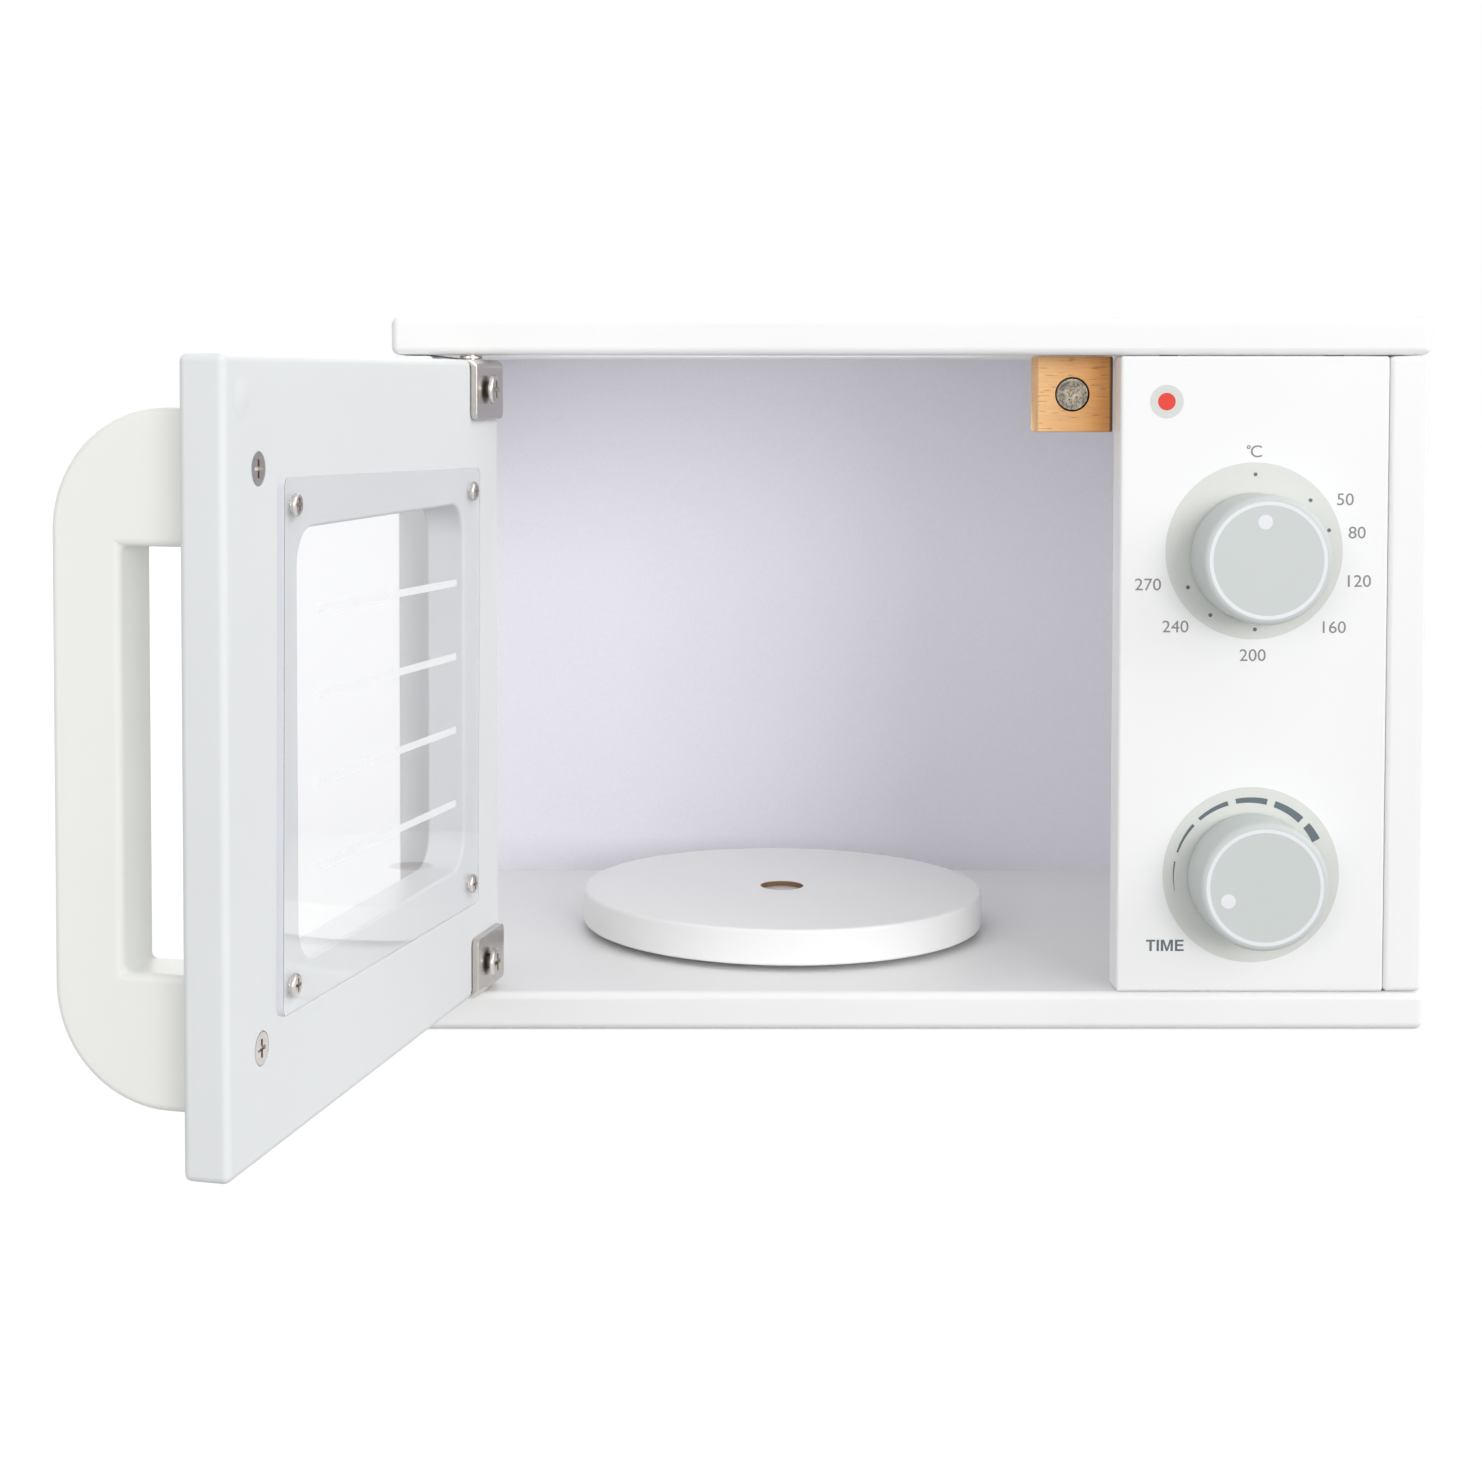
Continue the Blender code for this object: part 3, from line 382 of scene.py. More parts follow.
def round_sharp_edges(piece, radius, segments):
    """Round every sharp edge of a piece."""
    apply_modifier(piece, "BEVEL", width=radius, segments=segments, limit_method="ANGLE",
                   angle_limit=SMOOTH_ANGLE, miter_outer="MITER_SHARP")


def smooth(piece):
    """Shade a piece smooth across its rounded edges, with its flat faces left flat."""
    hold(piece)
    bpy.ops.object.shade_smooth_by_angle(angle=SMOOTH_ANGLE)
    apply_modifier(piece, "WEIGHTED_NORMAL", keep_sharp=True, weight=100)


def join(name, pieces):
    """Make several pieces one."""
    hold(pieces[0])
    for piece in pieces[1:]:
        piece.select_set(True)
    bpy.ops.object.join()
    return named(name)


def to_front(x, y, z):
    """A place for a piece that looks up, turned to look to the front."""
    return Matrix.Translation((x, y, z)) @ Matrix.Rotation(pi / 2, 4, "X")


def to_rear(x, y, z):
    """A place for a piece that looks up, turned to look to the rear, which is the shut door's inner side."""
    return Matrix.Translation((x, y, z)) @ Matrix.Rotation(-pi / 2, 4, "X")


def place(piece, matrix):
    """Move a piece to its place, and settle it there."""
    piece.matrix_world = matrix @ piece.matrix_world
    bpy.context.view_layer.update()
    settle(piece)


def copy_of(piece, name):
    """A copy with a mesh of its own."""
    copy = piece.copy()
    copy.data = piece.data.copy()
    copy.name = name
    copy.data.name = name
    bpy.context.scene.collection.objects.link(copy)
    return copy


def hand_over(piece, body, finish, slot, *nodes):
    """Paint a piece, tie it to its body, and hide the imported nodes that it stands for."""
    if not piece.data.materials:
        piece.data.materials.append(finish_named(finish))
    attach(piece, body)
    if nodes:
        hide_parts(*nodes)


def refinish(node, finish):
    """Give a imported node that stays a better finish."""
    piece = frame["nodes"][node]
    if not piece.material_slots:
        piece.data.materials.append(finish_named(finish))
    for material_slot in piece.material_slots:
        material_slot.material = finish_named(finish)


# Shader arithmetic

class Socket:
    """A shader value that takes part in sums."""

    def __init__(self, tree, source):
        self.tree = tree
        self.source = source

    def sum(self, operation, first, second):
        """One Math node."""
        node = self.tree.nodes.new("ShaderNodeMath")
        node.operation = operation
        for socket, value in zip(node.inputs, (first, second)):
            if isinstance(value, Socket):
                self.tree.links.new(value.source, socket)
            else:
                socket.default_value = value
        return Socket(self.tree, node.outputs[0])

    def __add__(self, other):
        return self.sum("ADD", self, other)

    def __radd__(self, other):
        return self.sum("ADD", other, self)

    def __sub__(self, other):
        return self.sum("SUBTRACT", self, other)

    def __rsub__(self, other):
        return self.sum("SUBTRACT", other, self)

    def __mul__(self, other):
        return self.sum("MULTIPLY", self, other)

    def __rmul__(self, other):
        return self.sum("MULTIPLY", other, self)

    def __truediv__(self, other):
        return self.sum("DIVIDE", self, other)

    def __rtruediv__(self, other):
        return self.sum("DIVIDE", other, self)

    def __lt__(self, other):
        return self.sum("LESS_THAN", self, other)

    def __gt__(self, other):
        return self.sum("GREATER_THAN", self, other)


class Recipe:
    """A finish that is being mixed, or the world's light."""

    def __init__(self, name, library="materials", shader="Principled BSDF"):
        self.made = getattr(bpy.data, library).new(name)
        self.made.use_nodes = True
        self.tree = self.made.node_tree
        self.shader = self.tree.nodes[shader]

    def node(self, kind, settings=(), values=(), output=0):
        """Any other node: its settings first, then the values or links of its sockets."""
        node = self.tree.nodes.new(kind)
        for name, value in dict(settings).items():
            if name == "stops":
                ramp = node.color_ramp
                while len(ramp.elements) < len(value):
                    ramp.elements.new(0.5)
                for element, (position, shade) in zip(ramp.elements, value):
                    element.position = position
                    element.color = (shade, shade, shade, 1.0)
            else:
                setattr(node, name, value)
        for name, value in dict(values).items():
            self.feed(node.inputs[name], value)
        return Socket(self.tree, node.outputs[output])

    def feed(self, socket, value):
        """Link or set one socket."""
        if isinstance(value, Socket):
            self.tree.links.new(value.source, socket)
        elif socket.type == "RGBA":
            socket.default_value = (*value, 1.0)
        else:
            socket.default_value = value

    def place(self, scale=(1, 1, 1), centre=(0, 0, 0)):
        """Place on the piece, stretched by a scale about a centre."""
        spot = self.node("ShaderNodeTexCoord", output="Object")
        shift = [-part * stretch for part, stretch in zip(centre, scale)]
        return self.node("ShaderNodeMapping", values={"Vector": spot, "Location": shift, "Scale": scale})

    def away(self, centre, scale):
        """Distance from a centre, in the directions that the scale keeps."""
        return self.node("ShaderNodeVectorMath", {"operation": "LENGTH"}, {0: self.place(scale, centre)},
                         output="Value")

    def noise(self, waves, detail=2.0, roughness=0.5, stretch=(1, 1, 1)):
        """A soft pattern, as so many waves a metre."""
        return self.node("ShaderNodeTexNoise", values={"Vector": self.place(stretch), "Scale": waves,
                                                      "Detail": detail, "Roughness": roughness})

    def ramp(self, value, *stops):
        """Spread a value over grey stops."""
        return self.node("ShaderNodeValToRGB", {"stops": stops}, {"Fac": value})

    def between(self, value, low, high):
        """Nought up to the low value, and one from the high value on."""
        return self.ramp(value, (low, 0.0), (high, 1.0))

    def mix(self, mask, first, second):
        """Blend two colours."""
        return self.node("ShaderNodeMix", {"data_type": "RGBA"}, {0: mask, 6: first, 7: second}, output=2)

    def bump(self, height, distance):
        """Fine relief."""
        return self.node("ShaderNodeBump", values={"Distance": distance, "Height": height})

    def is_ray(self, *kinds):
        """How many of some kinds the ray is of."""
        return sum(self.node("ShaderNodeLightPath", output=f"Is {kind} Ray") for kind in kinds)

    def straight_look(self):
        """One for rays that come from the camera, or by way of metal or glass, and else nought."""
        return self.is_ray("Camera", "Glossy", "Transmission") > 0.5

    def surface(self):
        """The shader's own surface."""
        return Socket(self.tree, self.shader.outputs[0])

    def show(self, surface):
        """Give the material another surface than the shader's own."""
        self.feed(self.tree.nodes["Material Output"].inputs["Surface"], surface)
        return self.made

    def let_light_through(self):
        """The surface as the eye sees it, but clear to the light that goes on to what is behind it."""
        clear = self.node("ShaderNodeBsdfTransparent", values={"Color": (0.992, 0.992, 0.994)})
        from_light = self.is_ray("Shadow", "Diffuse")
        surfaces = {0: from_light, 1: self.surface(), 2: clear}
        return self.show(self.node("ShaderNodeMixShader", values=surfaces))

    def finish(self, base, roughness, normal=None, constants=()):
        """Feed the shader, and hand back the material."""
        self.feed(self.shader.inputs["Base Color"], base)
        self.feed(self.shader.inputs["Roughness"], roughness)
        if normal is not None:
            self.feed(self.shader.inputs["Normal"], normal)
        for name, value in dict(constants).items():
            self.feed(self.shader.inputs[name], value)
        return self.made


def tinted(shade, factor):
    """A colour made darker or lighter."""
    return tuple(min(1.0, part * factor) for part in shade)


# Finishes

# Height of the sprayed paint's orange peel
PEEL_HEIGHT = 0.012 * MM


def sprayed_coat(recipe, shade):
    """Sprayed paint's colour, the faint clouds in its tone and the height of its fine orange peel."""
    cloud = recipe.noise(14, detail=3)
    fine = recipe.noise(900, detail=2)
    coat = recipe.mix(recipe.between(cloud, 0.30, 0.70), tinted(shade, 0.985), tinted(shade, 1.01))
    return coat, cloud, fine + cloud * 2


def paint(name, shade, gloss=0.34, shine=0.5):
    """Sprayed satin paint."""
    recipe = Recipe(name)
    coat, cloud, peel = sprayed_coat(recipe, shade)
    relief = recipe.bump(peel, PEEL_HEIGHT)
    return recipe.finish(coat, gloss + cloud * 0.06, relief, {"Specular IOR Level": shine})


def raw_hole_finish(shade, white, axis, hole_radius):
    """White paint on fibreboard, raw and brown inside the hole on an axis."""
    recipe = Recipe("painted_board_with_raw_hole")
    coat, cloud, peel = sprayed_coat(recipe, white)
    fibre = recipe.noise(1600, detail=4, roughness=0.7, stretch=(1, 1, 2.5))
    raw = recipe.mix(fibre, tinted(shade, 0.6), tinted(shade, 1.4))
    inside = recipe.away(axis, (1, 1, 0)) < hole_radius
    relief = recipe.bump(peel + inside * fibre * 6, PEEL_HEIGHT)
    return recipe.finish(recipe.mix(inside, coat, raw), 0.34 + cloud * 0.06 + inside * 0.4, relief)


def mixed_ink(name, shade, constants=()):
    """The recipe of screen-printed ink, a little uneven in its shade."""
    recipe = Recipe(name)
    grain = recipe.noise(2200, detail=3)
    base = recipe.mix(grain, tinted(shade, 0.96), tinted(shade, 1.04))
    recipe.finish(base, 0.42 + grain * 0.08, constants=constants)
    return recipe


def ink(name, shade):
    """Ink that covers what it is printed on."""
    return mixed_ink(name, shade).made


def glowing_thin_ink_finish(shade):
    """White ink so thin that light from behind shines through it, with a faint painted glow that stands in
    for that light.
    """
    # Painted light: the emission makes the ink glow a little, as if lit from behind
    return mixed_ink("glowing_thin_white_ink", shade, {"Alpha": 0.62, "Emission Strength": 0.06}).let_light_through()


def back_board_finish(shade):
    """Grey-lilac fibreboard with a fine paper grain."""
    recipe = Recipe("grey_lilac_board")
    speck = recipe.noise(2100, detail=4, roughness=0.75)
    fibre = recipe.noise(900, detail=3, roughness=0.6, stretch=(1.0, 1.0, 0.5))
    cloud = recipe.noise(9, detail=2)
    blend = recipe.between(speck * 0.7 + fibre * 0.2 + cloud * 0.1, 0.34, 0.66)
    base = recipe.mix(blend, tinted(shade, 0.955), tinted(shade, 1.045))
    return recipe.finish(base, 0.62 + speck * 0.1, recipe.bump(speck, 0.02 * MM))


def beech_finish(shade, shaded_beech_colour, fleck_shade, hole_radius):
    """Raw beech with its grain along X, painted darker to the right as shade of the control panel, with a
    painted shadow strip at its right edge and painted shade in the magnet's hole.
    """
    recipe = Recipe("raw_beech")
    band = recipe.noise(60, detail=3, roughness=0.5, stretch=(0.25, 1, 1))
    fibre = recipe.noise(1300, detail=4, roughness=0.65, stretch=(0.05, 1, 1))
    fleck = recipe.noise(1900, detail=1, roughness=0.5, stretch=(0.10, 1, 1))
    low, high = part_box("magnet_block")
    across = recipe.node("ShaderNodeSeparateXYZ", values={"Vector": recipe.place()}, output="X")
    across = (across - low.x) / (high.x - low.x)
    tone = recipe.between(band * 0.4 + fibre * 0.6, 0.35, 0.65)
    pale = recipe.mix(tone, tinted(shade, 0.90), tinted(shade, 1.12))
    # Painted shade: the wood turns darker and redder towards the control panel on the right
    shaded_wood = recipe.mix(tone, tinted(shaded_beech_colour, 0.88), tinted(shaded_beech_colour, 1.10))
    wood = recipe.mix(recipe.between(across, 0.05, 0.85), pale, shaded_wood)
    dark = recipe.between(fleck, 0.64, 0.70)
    flecked = recipe.mix(dark * 0.75, wood, fleck_shade)
    # Painted shadow: a near-black strip at the block's right edge, where the control panel shades it
    edge_shadowed = recipe.mix(recipe.between(across, 0.945, 0.97) * 0.95, flecked, tinted(fleck_shade, 0.3))
    # Painted shade: the gap round the magnet, inside its hole, is drawn near-black
    hole_shade = recipe.away(centre_of("door_magnet"), (1, 0, 1)) < hole_radius
    base = recipe.mix(hole_shade, edge_shadowed, tinted(fleck_shade, 0.2))
    return recipe.finish(base, 0.55 + fibre * 0.15, recipe.bump(fibre - dark * 0.6, 0.03 * MM))


def nickel_finish(name, shade, dullness=0.16):
    """Nickel plate over steel, faintly brushed."""
    recipe = Recipe(name)
    brush = recipe.noise(900, detail=3, roughness=0.6, stretch=(1, 1, 0.15))
    cloud = recipe.noise(260, detail=2)
    base = recipe.mix(cloud, tinted(shade, 0.92), tinted(shade, 1.06))
    return recipe.finish(base, dullness + brush * 0.10 + cloud * 0.06, recipe.bump(brush, 0.004 * MM),
                         {"Metallic": 1.0})


def magnet_finish(shade):
    """Worn magnet plating, grainy and scuffed, brighter in the middle and at the rim."""
    recipe = Recipe("worn_magnet_plate")
    grain = recipe.noise(1250, detail=3, roughness=0.8)
    scuff = recipe.noise(500, detail=3, roughness=0.7)
    low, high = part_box("door_magnet")
    out = recipe.away(centre_of("door_magnet"), (1, 0, 1)) / ((high.x - low.x) / 2)
    ring = recipe.ramp(out, (0.15, 1.0), (0.65, 0.45), (0.85, 0.35), (0.95, 1.0))
    blend = recipe.between(grain * 0.75 + scuff * 0.25, 0.40, 0.58)
    base = recipe.mix(blend * (0.35 + ring * 0.65), tinted(shade, 0.30), tinted(shade, 1.95))
    return recipe.finish(base, 0.55 + grain * 0.3, recipe.bump(grain, 0.03 * MM), {"Metallic": 0.45})


def acrylic_finish(shade):
    """Clear polished acrylic, which lets the lamps reach what is behind it."""
    recipe = Recipe("clear_acrylic")
    haze = recipe.noise(40, detail=2)
    base = recipe.mix(haze, tinted(shade, 0.995), shade)
    recipe.finish(base, 0.012 + haze * 0.01, constants={"Transmission Weight": 1.0, "IOR": 1.34})
    return recipe.let_light_through()


def sawn_acrylic_finish(shade):
    """The plate's edge, frosted by the saw."""
    recipe = Recipe("sawn_acrylic_edge")
    streak = recipe.noise(700, detail=3, roughness=0.6, stretch=(1, 1, 0.1))
    base = recipe.mix(streak, tinted(shade, 0.94), tinted(shade, 1.03))
    recipe.finish(base, 0.35 + streak * 0.15, recipe.bump(streak, 0.01 * MM))
    return recipe.let_light_through()


# How each finish is mixed from the colours in the sidebar
FINISHES = {
    "white_paint": lambda shades: paint("white_satin_paint", shades.white_paint, shine=0.35),
    # Painted shade: the door's paint is a darker copy of the white paint
    "shaded_door_paint": lambda shades: paint("shaded_white_gloss_paint", shades.shaded_door_paint, gloss=0.30, shine=0.05),
    "handle_paint": lambda shades: paint("warm_white_paint", shades.handle_paint, gloss=0.42),
    "knob_paint": lambda shades: paint("grey_green_paint", shades.knob_paint, gloss=0.40),
    "turntable_paint": lambda shades: raw_hole_finish(shades.raw_board, shades.white_paint,
                                                      centre_of("turntable_disc"), hole_radius=7.6 * MM),
    "back_board": lambda shades: back_board_finish(shades.back_board),
    "dial_print": lambda shades: ink("pale_green_ink", shades.dial_print),
    "white_print": lambda shades: ink("white_ink", shades.white_print),
    "stripe_print": lambda shades: glowing_thin_ink_finish(shades.stripe_print),
    "lamp_rim": lambda shades: ink("pale_grey_ink", shades.lamp_rim),
    "lamp_red": lambda shades: ink("red_ink", shades.lamp_red),
    "numeral_grey": lambda shades: ink("grey_ink", shades.numeral_grey),
    "slate_grey": lambda shades: ink("slate_ink", shades.slate_grey),
    "beech": lambda shades: beech_finish(shades.beech, shades.shaded_beech, shades.beech_fleck,
                                         hole_radius=5.5 * MM),
    "nickel": lambda shades: nickel_finish("nickel_plate", shades.nickel),
    # Painted shade for the screws' recesses and what lies under their heads
    "shaded_nickel": lambda shades: nickel_finish("shaded_nickel_plate", shades.shaded_nickel, dullness=0.35),
    "magnet": lambda shades: magnet_finish(shades.magnet),
    "acrylic": lambda shades: acrylic_finish(shades.acrylic),
    "sawn_acrylic": lambda shades: sawn_acrylic_finish(shades.sawn_acrylic),
}
mixed_finishes = {}


def finish_named(name):
    """A finish, mixed the first time that it is asked for."""
    if name not in mixed_finishes:
        mixed_finishes[name] = FINISHES[name](bpy.context.scene.microwave_colours)
    return mixed_finishes[name]


# Fittings and prints that several groups share

def paint_shade(screw, wanted):
    """Give the picked faces of a screw a darker nickel as painted shade, where light hardly reaches."""
    if not screw.data.materials:
        screw.data.materials.append(finish_named("nickel"))
        screw.data.materials.append(finish_named("shaded_nickel"))
    for face in screw.data.polygons:
        if wanted(face):
            face.material_index = 1


def cross_recess(piece, top, span, width, depth):
    """Press a tapered cross into the top of a screw head."""
    for turn, name in ((0, "first_blade"), (pi / 2, "second_blade")):
        blade = add_block(name, (-span / 2, -width / 2, top - depth),
                          (span / 2, width / 2, top + SEAM_OVERLAP))
        with Shaping(blade) as shape:
            shape.pick("FACE", looks_down)
            shape.narrow(x_share=0.35, y_share=0.55)
        place(blade, Matrix.Rotation(turn, 4, "Z"))
        cut(piece, blade)
    # Painted shade in the cross recess
    paint_shade(piece, lambda face: face.center.xy.length < span * 0.55
           and top - depth * 1.05 < face.center.z < top - depth * 0.02)


def pan_screw(name, head_radius, head_height, shank_radius, shank_length, undercut=0.0):
    """A pan-head screw with a cross recess. Its head sits on height zero and looks up."""
    step = head_radius - shank_radius
    screw = add_rod(name, head_radius, undercut, head_height, sides=48)
    with Shaping(screw) as shape:
        shape.round_above(head_height * 0.9, (head_height - undercut) * 0.75, segments=6)
        shape.pick("FACE", looks_down)
        shape.inset(step * 0.3)
        if undercut:
            shape.extrude((0, 0, -undercut))
            waist = (shank_radius * 1.1) / (head_radius - step * 0.3)
            shape.narrow(waist, waist)
        else:
            shape.inset(step * 0.7)
        shape.extrude((0, 0, -shank_length))
    cross_recess(screw, top=head_height, span=head_radius * 1.25, width=head_radius * 0.30,
                 depth=head_height * 0.7)
    # Painted shade on what lies under the head
    paint_shade(screw, lambda face: face.center.z < undercut)
    smooth(screw)
    return screw


def flat_screw(name, head_radius, shank_radius, shank_length):
    """A countersunk screw with a cross recess. Its head is flush with height zero and looks up."""
    head_depth = head_radius - shank_radius
    screw = add_rod(name, head_radius, -head_depth, 0, sides=48)
    with Shaping(screw) as shape:
        shape.pick("FACE", looks_down)
        shape.narrow(shank_radius / head_radius, shank_radius / head_radius)
        shape.extrude((0, 0, -shank_length))
        shape.round_above(-head_depth * 0.1, radius=0.12 * MM, segments=2)
    cross_recess(screw, top=0, span=head_radius * 1.15, width=head_radius * 0.26, depth=head_radius * 0.5)
    smooth(screw)
    return screw


def fit_screw(screw, node, body, back, matrix=Matrix.Identity(4), box=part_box):
    """Put a screw in a packed one's place. It looks to the rear, and its height zero lies so far back."""
    spot = centre_of(node, box)
    place(screw, matrix @ to_rear(spot.x, back, spot.z))
    hand_over(screw, body, "nickel", "nickel", node)


def print_sheet(sheet, thickness, centre, right=0.0, up=0.0):
    """Lay a flat sheet as a print on a face that looks to the front, so many millimetres from a point."""
    thicken(sheet, thickness)
    place(sheet, to_front(centre.x + right * MM, centre.y, centre.z + up * MM))
    return sheet


def ring_sheet(name, outer, width, sides):
    """A flat ring."""
    ring = add_round_sheet(name, outer, sides)
    with Shaping(ring) as shape:
        shape.pick_all()
        shape.inset(width)
        shape.pick("FACE", lambda face: len(face.verts) == sides)
        bpy.ops.mesh.delete(type="FACE")
    return ring


def arc_sheet(name, start, stop, outer, first_width, last_width):
    """A flat arc from one angle to another, whose width changes on the way."""
    bpy.ops.object.select_all(action="DESELECT")
    bpy.ops.mesh.primitive_grid_add(x_subdivisions=14, y_subdivisions=1, size=1)
    arc = named(name)
    for vert in arc.data.vertices:
        way = 0.5 + vert.co.x
        inner = outer - (first_width + (last_width - first_width) * way)
        radius = outer if vert.co.y > 0 else inner
        angle = start + (stop - start) * way
        vert.co = (radius * cos(angle), radius * sin(angle), 0)
    return arc


def text_sheet(name, words, height):
    """Words as a flat sheet, so high and centred on the origin."""
    bpy.ops.object.select_all(action="DESELECT")
    bpy.ops.object.text_add(location=(0, 0, 0))
    text = named(name)
    text.data.body = words
    text.data.resolution_u = 6
    return centred_sheet(text, name, height, stretch=1.06)


def word_sheet(name, height):
    """The bold word TIME, drawn as outlines in shares of its height."""
    stem = 0.19
    bar = 0.165
    letter_t = ((0.27, 0), (0.27 + stem, 0), (0.27 + stem, 1 - bar), (0.73, 1 - bar), (0.73, 1), (0, 1),
                (0, 1 - bar), (0.27, 1 - bar))
    letter_i = ((0, 0), (stem, 0), (stem, 1), (0, 1))
    letter_m = ((0, 0), (stem, 0), (stem, 0.74), (0.40, 0), (0.56, 0), (0.77, 0.74), (0.77, 0), (0.96, 0),
                (0.96, 1), (0.70, 1), (0.48, 0.27), (0.26, 1), (0, 1))
    letter_e = ((0, 0), (0.70, 0), (0.70, bar), (stem, bar), (stem, 0.44), (0.65, 0.44), (0.65, 0.44 + bar),
                (stem, 0.44 + bar), (stem, 1 - bar), (0.68, 1 - bar), (0.68, 1), (0, 1))
    curve = bpy.data.curves.new(name, "CURVE")
    curve.dimensions = "2D"
    curve.fill_mode = "BOTH"
    for start, outline in ((0, letter_t), (0.84, letter_i), (1.18, letter_m), (2.30, letter_e)):
        spline = curve.splines.new("POLY")
        spline.points.add(len(outline) - 1)
        for point, (x, y) in zip(spline.points, outline):
            point.co = (start + x, y, 0, 1)
        spline.use_cyclic_u = True
    word = bpy.data.objects.new(name, curve)
    bpy.context.scene.collection.objects.link(word)
    return centred_sheet(word, name, height, stretch=1.1)


def centred_sheet(flat, name, height, stretch):
    """Make a flat curve or text a mesh, so high and centred on the origin."""
    hold(flat)
    bpy.ops.object.convert(target="MESH")
    sheet = named(name)
    low, high = corners_of(vert.co for vert in sheet.data.vertices)
    scale = height / (high.y - low.y)
    place(sheet, Matrix.Diagonal((scale * stretch, scale, scale, 1)) @ Matrix.Translation(-(low + high) / 2))
    with Shaping(sheet) as shape:
        shape.pick_all()
        bpy.ops.mesh.remove_doubles(threshold=0.001 * MM)
        bpy.ops.mesh.dissolve_limited(angle_limit=radians(0.5))
        shape.turn_up(lambda face: True)
    return sheet


# One operator for each group of like pieces, and one for the stage

class MICROWAVE_OT_boards(bpy.types.Operator):
    """Make the top and bottom boards and the side panels"""

    bl_idname = "microwave.boards"
    bl_label = "Boards"
    bl_options = {"REGISTER", "UNDO"}

    def execute(self, context):
        sizes = context.scene.microwave_sizes
        edges = {"top_board": sizes.board_edge, "bottom_board": sizes.board_edge,
                 "left_side_panel": sizes.panel_edge, "right_side_panel": sizes.panel_edge}
        for node, edge in edges.items():
            board = add_rounded_block("painted_" + node, *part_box(node), edge, segments=6)
            smooth(board)
            hand_over(board, "cabinet", "white_paint", "white_paint", node)
        return {"FINISHED"}


